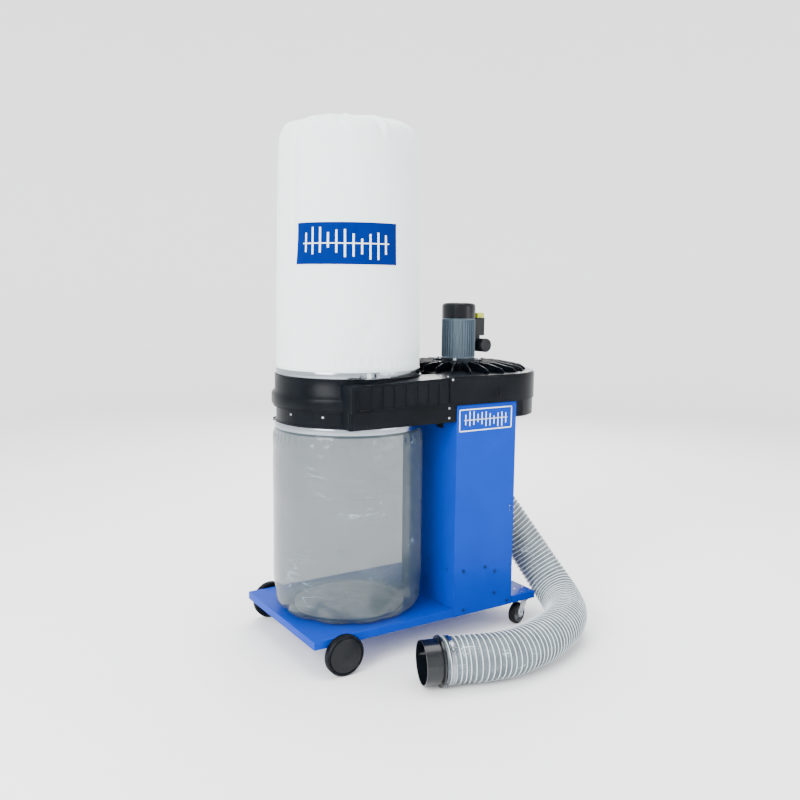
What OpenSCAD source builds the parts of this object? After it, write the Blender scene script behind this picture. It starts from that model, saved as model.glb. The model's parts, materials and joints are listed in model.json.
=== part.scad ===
// Mobile dust collector: a wheeled sheet-steel base with a folded column, a cyclone ring that
// holds a cloth filter bag above and a clear chip bag below, a fan housing with its upright
// motor, and a suction hose that lies on the floor. Origin: centre of the footprint on the floor.

/* [Base] */
// Length of the base plate
base_l = 816; // [780:1:1000]
// Width of the base plate
base_w = 478; // [440:1:600]
// Height of the base plate's top above the floor
base_z = 108; // [104:1:140]
// Depth of the folded edge all round the base
edge_h = 24; // [15:1:30]
// Thickness of the base and column sheet
sheet_t = 2; // [1.5:0.5:3]

/* [Fixed wheels] */
// Radius of the fixed wheels
wheel_r = 60; // [50:1:75]
// Width of the fixed wheels
wheel_w = 26; // [18:1:34]
// Gap between the base's edge and a fixed wheel
wheel_gap = 6; // [3:1:15]
// Distance of the wheel axle from the base's left end
axle_inset = 86; // [60:1:120]
// Radius of the wheel axle
axle_r = 6; // [5:0.5:8]

/* [Casters] */
// Radius of a caster wheel
caster_r = 35; // [28:1:38]
// Width of a caster wheel
caster_w = 22; // [16:1:28]
// Distance of the caster's axle behind its swivel axis
caster_trail = 28; // [18:1:30]
// Distance of a caster's swivel axis from the base's right end
caster_inset = 28; // [27:1:60]
// Direction in which the casters trail at rest
caster_turn = 195; // [0:1:360]

/* [Column] */
// Width of the column's front panel
column_w = 232; // [200:1:260]
// Height of the top of the column's front panel above the floor
column_top = 750; // [720:1:750]
// Depth of the column's side panel
column_d = 300; // [200:1:340]
// Width of the column's stiffening folds
fold_w = 15; // [10:1:20]

/* [Cyclone ring and fan housing] */
// Outer radius of the cyclone ring
ring_r = 225; // [190:1:270]
// Distance of the ring's axis from the base's left end
ring_inset = 239; // [200:1:300]
// Height of the housing's underside above the floor
housing_z = 700; // [680:1:720]
// Height of the joint between the housing's lower and upper shells
split_z = 752; // [752:1:770]
// Height of the ring's top above the floor
housing_top = 840; // [830:1:860]
// Wall thickness of the plastic shells
wall = 4; // [3:0.5:5]
// Distance that the duct's front wall stands in front of the ring
duct_lead = 26; // [15:1:40]
// Outer width of the duct between fan and ring
duct_w = 117; // [90:1:140]
// Length of the duct to the left of the ring's axis
duct_tail = 127; // [90:1:140]
// Radius of the fan's volute
volute_r = 213; // [190:1:260]
// Distance that the fan's axis lies left of the volute's centre
volute_dx = 20; // [15:1:30]
// Gap between impeller and volute where they are nearest
impeller_gap = 28; // [15:1:40]
// Number of impeller blades
blade_n = 8; // [6:1:12]

/* [Motor] */
// Radius of the motor over its cooling fins
motor_r = 56; // [50:1:66]
// Height of the motor's seat above the housing's top
motor_seat = 18; // [12:1:30]
// Height of the finned motor body
motor_h = 130; // [110:1:160]
// Height of the cowl on top of the motor
cowl_h = 52; // [40:1:60]
// Number of cooling fins round the motor
fin_n = 36; // [24:2:48]
// Radius of the motor shaft
shaft_r = 9; // [7:0.5:12]

/* [Bags and bands] */
// Height of the filter bag's top above the floor
bag_top = 1610; // [1400:1:1800]
// Radius of the filter bag at its shoulder
bag_shoulder_r = 208; // [180:1:215]
// Distance that the chip bag bulges beyond the ring
chip_bulge = 9; // [4:1:14]
// Height of a band clamp
band_h = 18; // [14:1:22]

/* [Hose] */
// Radius of the hose over its wire helix
hose_r = 66.5; // [60:0.5:68]
// Radius of the fan's inlet spigot
spigot_r = 60; // [50:1:60]
// Inner radius of the connector on the hose's free end
connector_bore_r = 59; // [50:0.5:60]
// Radius of the connector's flange
connector_flange_r = 71; // [69:1:90]

/* [Hidden] */
$fn = 96;
eps = 0.01;
gap = 0.3;          // clearance between fixed neighbours with curved faces
run_gap = 0.08;     // radial clearance of a turning fit
hole_gap = 0.2;     // radial clearance of a screw in its hole

// places along X, from the centre of the overall length
volute_x0 = ring_inset + ring_r + 1 + volute_r;
overall_l = max(volute_x0 + volute_r, base_l);
left_x = -overall_l / 2;
right_x = left_x + base_l;
ring_x = left_x + ring_inset;
volute_x = left_x + volute_x0;
fan_x = volute_x - volute_dx;
seam_x = ring_x + ring_r - 1;
duct_x = ring_x - duct_tail;
axle_x = left_x + axle_inset;
chip_r = ring_r + chip_bulge;
column_x = ring_x + chip_r + 8;

// places along Y
front_y = -base_w / 2;
duct_front = -ring_r - duct_lead;
duct_back = duct_front + duct_w;
volute_y = duct_front - 1 + volute_r;
lower_step = 4;                          // the lower shells stand this far inside the upper ones
lower_front = max(front_y + 1, duct_front + lower_step);

// fan and motor
impeller_r = volute_r - norm([volute_dx, volute_y]) - impeller_gap;
impeller_low = housing_z + wall + 12;
cover_top = housing_top - 2;             // flat top of the fan cover
duct_low = housing_top - 12;             // top of the duct at its free end
impeller_high = cover_top - 14;
seat_z = housing_top + motor_seat;
plate_t = 4;                             // motor plate
shield_t = 12;                           // motor's lower end shield
body_z = seat_z + plate_t + shield_t;
body_top = body_z + motor_h;
cowl_top = body_top + cowl_h;
fin_h = 5;
core_r = motor_r - fin_h;
bearing_r = 20;
bearing_w = 12;
screw_circle = motor_r + 14;             // radius of the motor's four screws

// bags
collar_h = 28;
upper_collar_r = ring_r - 8;
lower_collar_r = ring_r - 2;
film_t = 1;
cloth_t = 1.5;
upper_hem_r = upper_collar_r + gap + cloth_t;
lower_hem_r = lower_collar_r + gap + film_t;
band_t = 1.4;
upper_band_z = housing_top + 2;
lower_band_z = housing_z - 2 - band_h;
upper_latch_turn = -98;
lower_latch_turn = 130;

// terminal box, on the right of the motor
box_w = 52;
box_x0 = fan_x + motor_r - 14;
box_x1 = fan_x + motor_r + 37;
box_z0 = body_z + 72;
box_z1 = body_z + 128;
cap_r = 23;
cap_x = fan_x + motor_r + cap_r + 2;
cap_z = body_z + 40;
button_r = 7;
button_x = fan_x + motor_r + 17.5;
button_ys = [-11.5, 6.5];
flip_y = box_w / 2 - 5;
flip_z = box_z1 + 7;

// hose: route of its centre line from the fan's inlet to the connector
connector_turn = -18;
connector_mouth = [-214.5, -436, connector_flange_r + 0.5];
function connector_at(w) = connector_mouth
    + w * [cos(connector_turn), sin(connector_turn), 0];
hose_wall = 4;
hose_start_z = housing_z - 10;
hose_route = [
    [fan_x, 0, hose_start_z], [fan_x, 0, 645], [fan_x + 1, 0, 610], [224, -3, 570],
    [241, -8, 530], [264, -18, 490], [293, -33, 445], [325, -53, 398], [352, -73, 350],
    [375, -94, 308], [397, -118, 264], [417, -146, 220], [432, -178, 178], [441, -214, 140],
    [443, -254, 108], [434, -297, 86], [415, -337, 74], [387, -373, 69], [345, -409, 68],
    [295, -440, 68], [236, -467, 68], [177, -487, 68], [115, -500, 68], [52, -506, 68],
    [-5, -501, 69], [-58, -489, 71], connector_at(112), connector_at(58)
];
hose_sides = 12;

// Puts its children at both casters' swivel axes
module caster_places() {
    for (side = [-1, 1])
        translate([right_x - caster_inset, side * (base_w / 2 - 32), 0]) children();
}

module one_caster(side) {
    translate([right_x - caster_inset, side * (base_w / 2 - 32), 0]) rotate(caster_turn) children();
}

caster_plate_l = 48;
caster_plate_w = 52;
module caster_bolt_places() {
    caster_places()
        for (x = [-1, 1]) for (y = [-1, 1])
            translate([x * (caster_plate_l / 2 - 7), y * (caster_plate_w / 2 - 8), 0]) children();
}

// Cylinder between two points
module rod(a, b, r) {
    d = b - a;
    translate(a)
        rotate([0, acos(d[2] / norm(d)), atan2(d[1], d[0])])
            cylinder(r = r, h = norm(d), $fn = 24);
}

// Screw with its head above the seat and its shank below
module screw(head_r, head_h, shank_r, shank_l) {
    translate([0, 0, -shank_l]) cylinder(r = shank_r, h = shank_l + eps, $fn = 32);
    cylinder(r = head_r, h = head_h * 0.55, $fn = 32);
    translate([0, 0, head_h * 0.55 - eps])
        cylinder(r1 = head_r, r2 = head_r * 0.55, h = head_h * 0.45, $fn = 32);
}

// Ring about Z
module tube(r_out, r_in, h) {
    difference() {
        cylinder(r = r_out, h = h, $fn = 160);
        translate([0, 0, -1]) cylinder(r = r_in, h = h + 2, $fn = 160);
    }
}

// ---------------------------------------------------------------- base and column

module base_plate() {
    color("#0c62de") difference() {
        translate([left_x, front_y, base_z - edge_h]) cube([base_l, base_w, edge_h]);
        translate([left_x + sheet_t, front_y + sheet_t, base_z - edge_h - 1])
            cube([base_l - 2 * sheet_t, base_w - 2 * sheet_t, edge_h - sheet_t + 1]);
        caster_bolt_places()
            translate([0, 0, base_z - 10]) cylinder(r = 3 + hole_gap, h = 20, $fn = 32);
        column_flange_screw_places()
            translate([0, 0, -10]) cylinder(r = 3 + hole_gap, h = 30, $fn = 32);
    }
}

side_top = housing_z - 1;
column_x1 = column_x + column_w;
// screws of the front panel: x from the panel's left edge, height above the floor
front_screws = [[36, 227], [121, 227], [160, 206], [160, 135]];
side_screws = [[40, 227], [150, 232]];
flange_screws = [39, 213];

module column_front_screw_places() {
    for (s = front_screws)
        translate([column_x + s[0], front_y - sheet_t, s[1]]) rotate([90, 0, 0]) children();
}

module column_side_screw_places() {
    for (s = side_screws)
        translate([column_x, front_y + s[0], s[1]]) rotate([0, -90, 0]) children();
}

module column_flange_screw_places() {
    for (x = flange_screws)
        translate([column_x + x, front_y - sheet_t, base_z - 8]) rotate([90, 0, 0]) children();
}

module column() {
    panel_z = base_z - edge_h;
    color("#0c62de") difference() {
        union() {
            // front panel, which laps over the base's edge
            translate([column_x, front_y - sheet_t, panel_z])
                cube([column_w, sheet_t, column_top - panel_z]);
            // side panel with its folded back edge and top
            translate([column_x, front_y - sheet_t, base_z])
                cube([sheet_t, column_d, side_top - base_z]);
            translate([column_x, front_y - sheet_t + column_d - sheet_t, base_z])
                cube([fold_w, sheet_t, side_top - base_z]);
            translate([column_x, front_y + 4, side_top - sheet_t])
                cube([fold_w, column_d - 6 - sheet_t, sheet_t]);
            translate([column_x, front_y + 4, base_z])
                cube([fold_w, column_d - 6 - sheet_t, sheet_t]);
            // folded right edge
            translate([column_x1 - sheet_t, front_y - sheet_t, base_z])
                cube([sheet_t, fold_w, side_top - base_z]);
        }
        // inspection slots near the right edge
        translate([column_x1 - 16, front_y - 10, 396]) cube([4, 20, 23]);
        translate([column_x1 - 10, front_y - 10, 214]) cube([3, 20, 4]);
        column_front_screw_places()
            translate([0, 0, -10]) cylinder(r = 3 + hole_gap, h = 20, $fn = 32);
        column_side_screw_places()
            translate([0, 0, -10]) cylinder(r = 3 + hole_gap, h = 20, $fn = 32);
        column_flange_screw_places()
            translate([0, 0, -10]) cylinder(r = 3 + hole_gap, h = 20, $fn = 32);
    }
}

module column_screws() {
    color("#0a4fb4") {
        column_front_screw_places() screw(6, 3, 3, 9);
        column_side_screw_places() screw(6, 3, 3, 9);
        column_flange_screw_places() screw(6, 3, 3, 9);
    }
}

// Angle brackets, welded behind the front panel, that carry the fan housing
bracket_w = 30;
bracket_xs = [70, 190];
module column_brackets() {
    color("#30343a")
        for (x = bracket_xs) translate([column_x + x - bracket_w / 2, front_y + gap, housing_z - 34]) {
            cube([bracket_w, 3, 34 - gap]);
            translate([0, 0, 31 - gap]) cube([bracket_w, 40, 3]);
        }
}

// Angle bracket between the column's side panel and the housing's underside
module ring_bracket() {
    color("#16181b") translate([column_x - 3 - gap, front_y + 67, housing_z - 28]) {
        cube([3, 34, 28 - gap]);
        translate([-14, 0, 25 - gap]) cube([17, 34, 3]);
        translate([-9, 15, 12]) cube([9 + eps, 4, 14]);
    }
}

// ---------------------------------------------------------------- fixed wheels

wheel_y = base_w / 2 + wheel_gap;
bracket_inset = 22;

module axle() {
    axle_l = 2 * (wheel_y + wheel_w - 5);
    color("silver") translate([axle_x, axle_l / 2, wheel_r]) rotate([90, 0, 0])
        cylinder(r = axle_r, h = axle_l);
}

module axle_brackets() {
    plate_t = 4;
    color("#0a55c4") for (side = [-1, 1])
        translate([axle_x, side * (base_w / 2 - bracket_inset), 0]) difference() {
            union() {
                translate([-22, -plate_t / 2, wheel_r])
                    cube([44, plate_t, base_z - sheet_t - wheel_r]);
                translate([0, plate_t / 2, wheel_r]) rotate([90, 0, 0])
                    cylinder(r = 14, h = plate_t);
                translate([-22, side < 0 ? 0 : -26, base_z - sheet_t - plate_t])
                    cube([44, 26, plate_t]);
            }
            translate([0, 50, wheel_r]) rotate([90, 0, 0])
                cylinder(r = axle_r + 0.02, h = 100);
        }
}

// Push-on caps that keep the wheels on the axle
module axle_retainers() {
    color("#c8ccd0") for (side = [-1, 1])
        translate([axle_x, side * (wheel_y + wheel_w - 9), wheel_r]) rotate([-90 * side, 0, 0])
            difference() {
                cylinder(r = axle_r + 5, h = 2);
                translate([0, 0, -1]) cylinder(r = axle_r + 0.02, h = 4);
            }
}

// A fixed wheel with its axis along Z, its inner face at z = 0
module wheel_shape() {
    hub_r = axle_r + 9;
    rotate_extrude($fn = 144) {
        difference() {
            polygon([
                [axle_r + run_gap, 0], [hub_r, 0], [hub_r, 7], [wheel_r - 14, 9],
                [wheel_r - 12, 2], [wheel_r - 4, 2], [wheel_r, 5], [wheel_r, wheel_w - 6],
                [wheel_r - 4, wheel_w - 1], [wheel_r - 8, wheel_w - 1],
                [wheel_r - 10, wheel_w - 4], [wheel_r - 14, wheel_w - 4],
                [wheel_r - 14, wheel_w - 11], [axle_r + run_gap, wheel_w - 11]
            ]);
            // grooves of the tread
            for (z = [9, 13, 17]) translate([wheel_r - 1.2, z]) square([3, 1.4]);
        }
    }
}

module hubcap_shape() {
    rotate_extrude($fn = 144) polygon([
        [0, wheel_w - 3.6], [wheel_r - 10.5, wheel_w - 3.6], [wheel_r - 10.5, wheel_w - 2],
        [wheel_r - 13, wheel_w - 0.6], [wheel_r - 20, wheel_w], [wheel_r - 40, wheel_w + 1.6],
        [0, wheel_w + 2]
    ]);
}

module wheel_side(side) {
    translate([axle_x, side * wheel_y, wheel_r]) rotate([-90 * side, 0, 0]) children();
}

module wheel_front() color("#16181a") wheel_side(-1) wheel_shape();
module wheel_rear() color("#16181a") wheel_side(1) wheel_shape();
module hubcap_front() color("#1b1e22") wheel_side(-1) hubcap_shape();
module hubcap_rear() color("#1b1e22") wheel_side(1) hubcap_shape();

// ---------------------------------------------------------------- casters

caster_plate_z = base_z - sheet_t;
crown_z = 2 * caster_r + 6;
kingpin_r = 6;
caster_bolt_r = 4;

module caster_plates() {
    head_z = crown_z + 3 + gap;
    color("#c4c8cc") difference() {
        caster_places() {
            translate([-caster_plate_l / 2, -caster_plate_w / 2, caster_plate_z - 3])
                cube([caster_plate_l, caster_plate_w, 3]);
            translate([0, 0, head_z]) cylinder(r = 17, h = caster_plate_z - 3 - head_z + eps);
            translate([0, 0, crown_z - 3]) cylinder(r = kingpin_r, h = head_z - crown_z + 3 + eps);
            translate([0, 0, crown_z - 5 - gap]) cylinder(r = kingpin_r + 3, h = 5);
        }
        caster_bolt_places()
            translate([0, 0, caster_plate_z - 5]) cylinder(r = 3 + hole_gap, h = 10, $fn = 32);
    }
}

module caster_bolts() {
    color("#d6dade") caster_bolt_places() {
        translate([0, 0, caster_plate_z - 4]) cylinder(r = 3, h = 4 + sheet_t, $fn = 32);
        translate([0, 0, caster_plate_z - 7]) cylinder(r = 5, h = 4, $fn = 6);
    }
}

// Pressed fork whose legs trail along +X
module fork_shape() {
    leg_y = caster_w / 2 + 2.5;
    difference() {
        union() {
            translate([0, 0, crown_z]) cylinder(r = 23, h = 3);
            translate([-6, -leg_y - 3, crown_z])
                cube([caster_trail, 2 * leg_y + 6, 3]);
            for (side = [-1, 1]) translate([0, side * (leg_y + 1.5) + 1.5, 0]) rotate([90, 0, 0])
                linear_extrude(3) {
                    translate([caster_trail, caster_r]) circle(r = 11);
                    polygon([
                        [-6, crown_z + 3], [caster_trail - 6, crown_z + 3],
                        [caster_trail + 10, caster_r + 4],
                        [caster_trail - 8, caster_r - 7.5], [-2, crown_z - 14]
                    ]);
                }
        }
        translate([0, 0, crown_z - 5]) cylinder(r = kingpin_r + run_gap, h = 12);
        translate([caster_trail, 50, caster_r]) rotate([90, 0, 0])
            cylinder(r = caster_bolt_r + 0.02, h = 100);
        // room for the kingpin's rivet head
        translate([0, 0, crown_z - 6]) cylinder(r = kingpin_r + 4, h = 6);
    }
}

module caster_axle_shape() {
    half = caster_w / 2 + 5.5;
    translate([caster_trail, half, caster_r]) rotate([90, 0, 0])
        cylinder(r = caster_bolt_r, h = 2 * half);
    translate([caster_trail, -half, caster_r]) rotate([90, 0, 0]) cylinder(r = 7, h = 4, $fn = 6);
    translate([caster_trail, half + 5, caster_r]) rotate([90, 0, 0]) cylinder(r = 7, h = 5, $fn = 6);
}

module caster_hub_shape() {
    half = caster_w / 2;
    translate([caster_trail, 0, caster_r]) rotate([90, 0, 0]) rotate_extrude($fn = 96) polygon([
        [caster_bolt_r + run_gap, -half - 2], [9, -half - 2], [9, -3.5], [caster_r - 12, -3.5],
        [caster_r - 10, -half + 1], [caster_r - 8, -half + 1], [caster_r - 8, half - 1],
        [caster_r - 10, half - 1], [caster_r - 12, 3.5], [9, 3.5], [9, half + 2],
        [caster_bolt_r + run_gap, half + 2]
    ]);
}

module caster_tyre_shape() {
    half = caster_w / 2;
    translate([caster_trail, 0, caster_r]) rotate([90, 0, 0]) rotate_extrude($fn = 96) polygon([
        [caster_r - 8, -half], [caster_r - 4, -half], [caster_r - 1, -half + 2.5], [caster_r, 0 - 4],
        [caster_r, 4], [caster_r - 1, half - 2.5], [caster_r - 4, half], [caster_r - 8, half]
    ]);
}

module caster_fork_front() color("#c4c8cc") one_caster(-1) fork_shape();
module caster_fork_rear() color("#c4c8cc") one_caster(1) fork_shape();
module caster_axle_front() color("#d6dade") one_caster(-1) caster_axle_shape();
module caster_axle_rear() color("#d6dade") one_caster(1) caster_axle_shape();
module caster_hub_front() color("#8b9095") one_caster(-1) caster_hub_shape();
module caster_hub_rear() color("#8b9095") one_caster(1) caster_hub_shape();
module caster_tyre_front() color("#17191b") one_caster(-1) caster_tyre_shape();
module caster_tyre_rear() color("#17191b") one_caster(1) caster_tyre_shape();

// ---------------------------------------------------------------- cyclone ring and duct

// Outline of the duct on the ring's side of the seam, drawn in by inset; open runs it past the seam
module duct_plan(front, inset, open = 0) {
    translate([duct_x + inset, front + inset])
        square([seam_x + open - duct_x - inset, duct_back - inset - front - inset]);
}

module ring_disc_plan(inset, open = 0) {
    intersection() {
        translate([ring_x, 0]) circle(r = ring_r - inset, $fn = 200);
        translate([left_x - 50, -1000]) square([seam_x + open - left_x + 50, 2000]);
    }
}

module ring_plan(front, inset, open = 0) {
    ring_disc_plan(inset, open);
    duct_plan(front, inset, open);
}

// The lower shells' outline lies inside the upper ones' by lower_step
module ring_lower_plan(inset, open = 0) {
    intersection() {
        ring_plan(duct_front, lower_step + inset, open);
        translate([left_x - 50, lower_front + inset]) square([overall_l + 100, 1000]);
    }
}

// Outline of the volute and the duct on the fan's side of the seam
module fan_plan(front, inset, open = 0) {
    translate([volute_x, volute_y]) circle(r = volute_r - inset, $fn = 200);
    translate([seam_x - open, front + inset])
        square([volute_x - seam_x + open, duct_back - inset - front - inset]);
}

module fan_lower_plan(inset, open = 0) {
    intersection() {
        fan_plan(duct_front, lower_step + inset, open);
        translate([seam_x - open, lower_front + inset]) square([overall_l, 1000]);
    }
}

// ring screws: angles round the ring, clear of the duct
ring_screw_turns = [-138, -168, 162, 132, 102, 72, 42, 14];
module ring_screw_places() {
    for (a = ring_screw_turns)
        translate([ring_x, 0, split_z - 21]) rotate(a)
            translate([ring_r - lower_step, 0, 0]) rotate([0, 90, 0]) children();
}

module ring_lower() {
    color("#14171a") difference() {
        union() {
            translate([0, 0, housing_z]) linear_extrude(split_z - housing_z) ring_lower_plan(0);
            translate([ring_x, 0, housing_z - collar_h]) cylinder(r = lower_collar_r, h = collar_h + 1, $fn = 200);
            // rolled rim under the joint
            intersection() {
                translate([ring_x, 0, split_z - 8]) cylinder(r = ring_r + 5, h = 8, $fn = 200);
                translate([left_x - 50, -600, 0]) cube([seam_x - left_x + 50, 1200, 2000]);
            }
            // rounded boss at the duct's free end
            translate([duct_x + 12, lower_front + 9, housing_z]) cylinder(r = 10, h = split_z - housing_z);
        }
        translate([0, 0, housing_z + wall])
            linear_extrude(split_z - housing_z) ring_lower_plan(wall, 1);
        translate([ring_x, 0, housing_z - collar_h - 1])
            cylinder(r = lower_collar_r - wall, h = collar_h + wall + 2, $fn = 200);
        ring_screw_places() translate([0, 0, -12]) cylinder(r = 2 + hole_gap, h = 20, $fn = 24);
        seam_lower_places() translate([0, 0, -12]) cylinder(r = 2 + hole_gap, h = 20, $fn = 24);
    }
}

panel_x0 = duct_x + 24;
panel_x1 = seam_x - 18;
panel_n = 8;

// Side view of the duct's upper half, whose top rises to the fan; in is its distance inwards
module duct_side(x0, x1, in) {
    slope = (cover_top - duct_low) / (seam_x - duct_x);
    polygon([
        [x0, split_z + in], [x1, split_z + in],
        [x1, duct_low + (x1 - duct_x) * slope - in], [x0, duct_low + (x0 - duct_x) * slope - in]
    ]);
}

module ring_upper() {
    color("#14171a") difference() {
        union() {
            translate([0, 0, split_z]) linear_extrude(housing_top - split_z) ring_disc_plan(0);
            translate([0, duct_back, 0]) rotate([90, 0, 0])
                linear_extrude(duct_w) duct_side(duct_x, seam_x, 0);
            translate([ring_x, 0, housing_top - 1])
                cylinder(r = upper_collar_r, h = collar_h + 1, $fn = 200);
            // bulging skirt over the joint
            intersection() {
                translate([ring_x, 0, split_z]) rotate_extrude($fn = 200) polygon([
                    [ring_r - 1, 0], [ring_r + 9, 0], [ring_r + 10, 3], [ring_r + 10, 28],
                    [ring_r + 8, 34], [ring_r - 1, 42]
                ]);
                translate([left_x - 50, -600, 0]) cube([seam_x - left_x + 50, 1200, 2000]);
            }
            // frame of the duct's front panel, with its ribs
            translate([0, duct_front + eps, 0]) rotate([90, 0, 0]) linear_extrude(3) difference() {
                duct_side(duct_x + 2, seam_x, 0);
                duct_side(panel_x0, panel_x1, 7);
            }
            for (i = [1 : panel_n - 1])
                translate([panel_x0 + i * (panel_x1 - panel_x0) / panel_n - 1, duct_front - 1.5, split_z])
                    cube([2, 1.5 + eps, duct_low - 6 - split_z]);
        }
        translate([0, 0, split_z + wall])
            linear_extrude(duct_low - split_z - 2 * wall) ring_plan(duct_front, wall, 1);
        translate([0, 0, split_z - 1]) linear_extrude(wall + 2) ring_lower_plan(wall, 1);
        translate([ring_x, 0, split_z + 1])
            cylinder(r = upper_collar_r - wall, h = housing_top + collar_h - split_z + 1, $fn = 200);
        seam_upper_places() translate([0, 0, -12]) cylinder(r = 2 + hole_gap, h = 20, $fn = 24);
        seam_top_places() {
            translate([0, 0, -12]) cylinder(r = 2 + hole_gap, h = 20, $fn = 24);
            cylinder(r = 4.6, h = 6, $fn = 32);
        }
    }
}

module ring_screws() {
    color("#c9ced4") {
        ring_screw_places() screw(3.6, 2, 2, 6);
        seam_lower_places() screw(3.6, 2, 2, 6);
        seam_upper_places() screw(3.6, 2, 2, 6);
        seam_top_places() screw(3.6, 2, 2, 6);
    }
}

// screws beside the seam, on the ring's side
module seam_lower_places() {
    for (z = [housing_z + 14, split_z - 8])
        translate([seam_x - 9, lower_front, z]) rotate([90, 0, 0]) children();
}

module seam_upper_places() {
    translate([seam_x - 9, duct_front - 3, cover_top - 7]) rotate([90, 0, 0]) children();
}

module seam_top_places() {
    for (y = [duct_front + 22, duct_front + 60])
        translate([seam_x - 9, y, cover_top - 0.3]) children();
}

// ---------------------------------------------------------------- fan housing

housing_screw_turns = [-75, -45, -15, 15, 45, 75, 105, 135];
module housing_screw_places() {
    for (a = housing_screw_turns)
        translate([volute_x, volute_y, cover_top]) rotate(a)
            translate([volute_r - 14, 0, 0]) children();
}

module fan_housing() {
    color("#121518") difference() {
        union() {
            translate([0, 0, housing_z]) linear_extrude(split_z - housing_z) fan_lower_plan(0);
        }
        translate([0, 0, housing_z + wall])
            linear_extrude(split_z - housing_z) fan_lower_plan(wall, 1);
        translate([fan_x, 0, housing_z - 1]) cylinder(r = spigot_r + 2, h = wall + 2);
        spigot_screw_places() translate([0, 0, -2]) cylinder(r = 2 + hole_gap, h = 20, $fn = 24);
    }
}

rib_n = 24;
seat_r = screw_circle + 9;
module fan_cover() {
    color("#121518") difference() {
        union() {
            // wall, with its rounded upper edge in steps
            translate([0, 0, split_z]) linear_extrude(cover_top - 6 - split_z) fan_plan(duct_front, 0);
            translate([0, 0, cover_top - 7]) linear_extrude(4) fan_plan(duct_front, 1.5);
            translate([0, 0, cover_top - 4]) linear_extrude(4) fan_plan(duct_front, 4);
            translate([fan_x, 0, cover_top - 1]) cylinder(r = seat_r, h = seat_z - cover_top + 1);
            // radial ribs that fall away from the motor's seat
            intersection() {
                translate([0, 0, cover_top - 1]) linear_extrude(30) fan_plan(duct_front, 12);
                for (i = [0 : rib_n - 1])
                    translate([fan_x, 0, 0]) rotate(i * 360 / rib_n + 4)
                        translate([0, 2, 0]) rotate([90, 0, 0]) linear_extrude(4) polygon([
                            [seat_r - 4, cover_top - 1], [seat_r - 4, seat_z - 0.5],
                            [seat_r + 2, seat_z - 0.5], [seat_r + 6, seat_z + 7],
                            [seat_r + 70, seat_z + 6], [seat_r + 135, cover_top + 14],
                            [seat_r + 145, cover_top + 5], [seat_r + 145, cover_top - 1]
                        ]);
            }
        }
        translate([0, 0, split_z + wall])
            linear_extrude(cover_top - 2 * wall - split_z) fan_plan(duct_front, wall + 1.5, 1);
        translate([0, 0, split_z - 1]) linear_extrude(wall + 2) fan_lower_plan(wall, 1);
        translate([fan_x, 0, cover_top - wall - 1])
            cylinder(r = seat_r - wall, h = seat_z - cover_top + 1);
        translate([fan_x, 0, cover_top]) cylinder(r = motor_r - 6, h = 60);
        motor_screw_places() translate([0, 0, -30]) cylinder(r = 3 + hole_gap, h = 40, $fn = 32);
        housing_screw_places() {
            translate([0, 0, -12]) cylinder(r = 2.5 + hole_gap, h = 20, $fn = 24);
            cylinder(r = 7, h = 30, $fn = 48);
        }
    }
}

// Cover screws and the spigot's screws
module housing_screws() {
    color("#c9ced4") {
        housing_screw_places() screw(5, 3, 2.5, 8);
        spigot_screw_places() rotate([180, 0, 0]) screw(4.5, 2.6, 2, 6);
    }
}

spigot_flange_r = spigot_r + 20;
module spigot_screw_places() {
    for (i = [0 : 5])
        translate([fan_x, 0, housing_z - 4]) rotate(30 + i * 60)
            translate([spigot_flange_r - 7, 0, 0]) children();
}

module inlet_spigot() {
    color("#16191c") difference() {
        translate([fan_x, 0, 0]) {
            translate([0, 0, housing_z - 4]) cylinder(r = spigot_flange_r, h = 4);
            translate([0, 0, housing_z - 48]) cylinder(r = spigot_r, h = 48);
        }
        translate([fan_x, 0, housing_z - 50]) cylinder(r = spigot_r - 3, h = 60);
        spigot_screw_places() translate([0, 0, -2]) cylinder(r = 2 + hole_gap, h = 20, $fn = 24);
    }
}

module impeller() {
    hub_r = shaft_r + 11;
    color("#8d949b") translate([fan_x, 0, 0]) difference() {
        union() {
            translate([0, 0, impeller_high - 3]) cylinder(r = impeller_r, h = 3);
            translate([0, 0, impeller_high - 48]) cylinder(r = hub_r, h = 48);
            for (i = [0 : blade_n - 1]) rotate(i * 360 / blade_n)
                translate([hub_r - 4, -1, impeller_low])
                    rotate([90, 0, 0]) linear_extrude(2) polygon([
                        [0, impeller_high - impeller_low - 44], [40, 0],
                        [impeller_r - hub_r - 1, 0],
                        [impeller_r - hub_r - 1, impeller_high - impeller_low - 1],
                        [0, impeller_high - impeller_low - 1]
                    ]);
        }
        translate([0, 0, impeller_high - 60]) cylinder(r = shaft_r + 0.02, h = 80);
    }
}

module impeller_bolt() {
    seat = impeller_high - 48;
    color("#d0d4d8") translate([fan_x, 0, 0]) {
        translate([0, 0, seat - 3]) cylinder(r = shaft_r + 7, h = 3);
        translate([0, 0, seat - 9]) cylinder(r = 7.5, h = 6 + eps, $fn = 6);
    }
}

// ---------------------------------------------------------------- motor

module motor_screw_places() {
    for (i = [0 : 3])
        translate([fan_x, 0, seat_z + plate_t + 7]) rotate(45 + i * 90)
            translate([screw_circle, 0, 0]) children();
}

module motor_plate() {
    color("#1c2024") difference() {
        translate([fan_x, 0, seat_z]) cylinder(r = seat_r - 0.5, h = plate_t);
        translate([fan_x, 0, seat_z - 1]) cylinder(r = shaft_r + 6, h = plate_t + 2);
        motor_screw_places() translate([0, 0, -30]) cylinder(r = 3 + hole_gap, h = 40, $fn = 32);
    }
}

module motor_screws() {
    color("#d8dce0") motor_screw_places() {
        cylinder(r = 6.5, h = 1.5, $fn = 32);
        translate([0, 0, 1.5 - eps]) cylinder(r = 5.5, h = 5, $fn = 6);
        translate([0, 0, -22]) cylinder(r = 3, h = 22 + eps, $fn = 32);
    }
}

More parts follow.
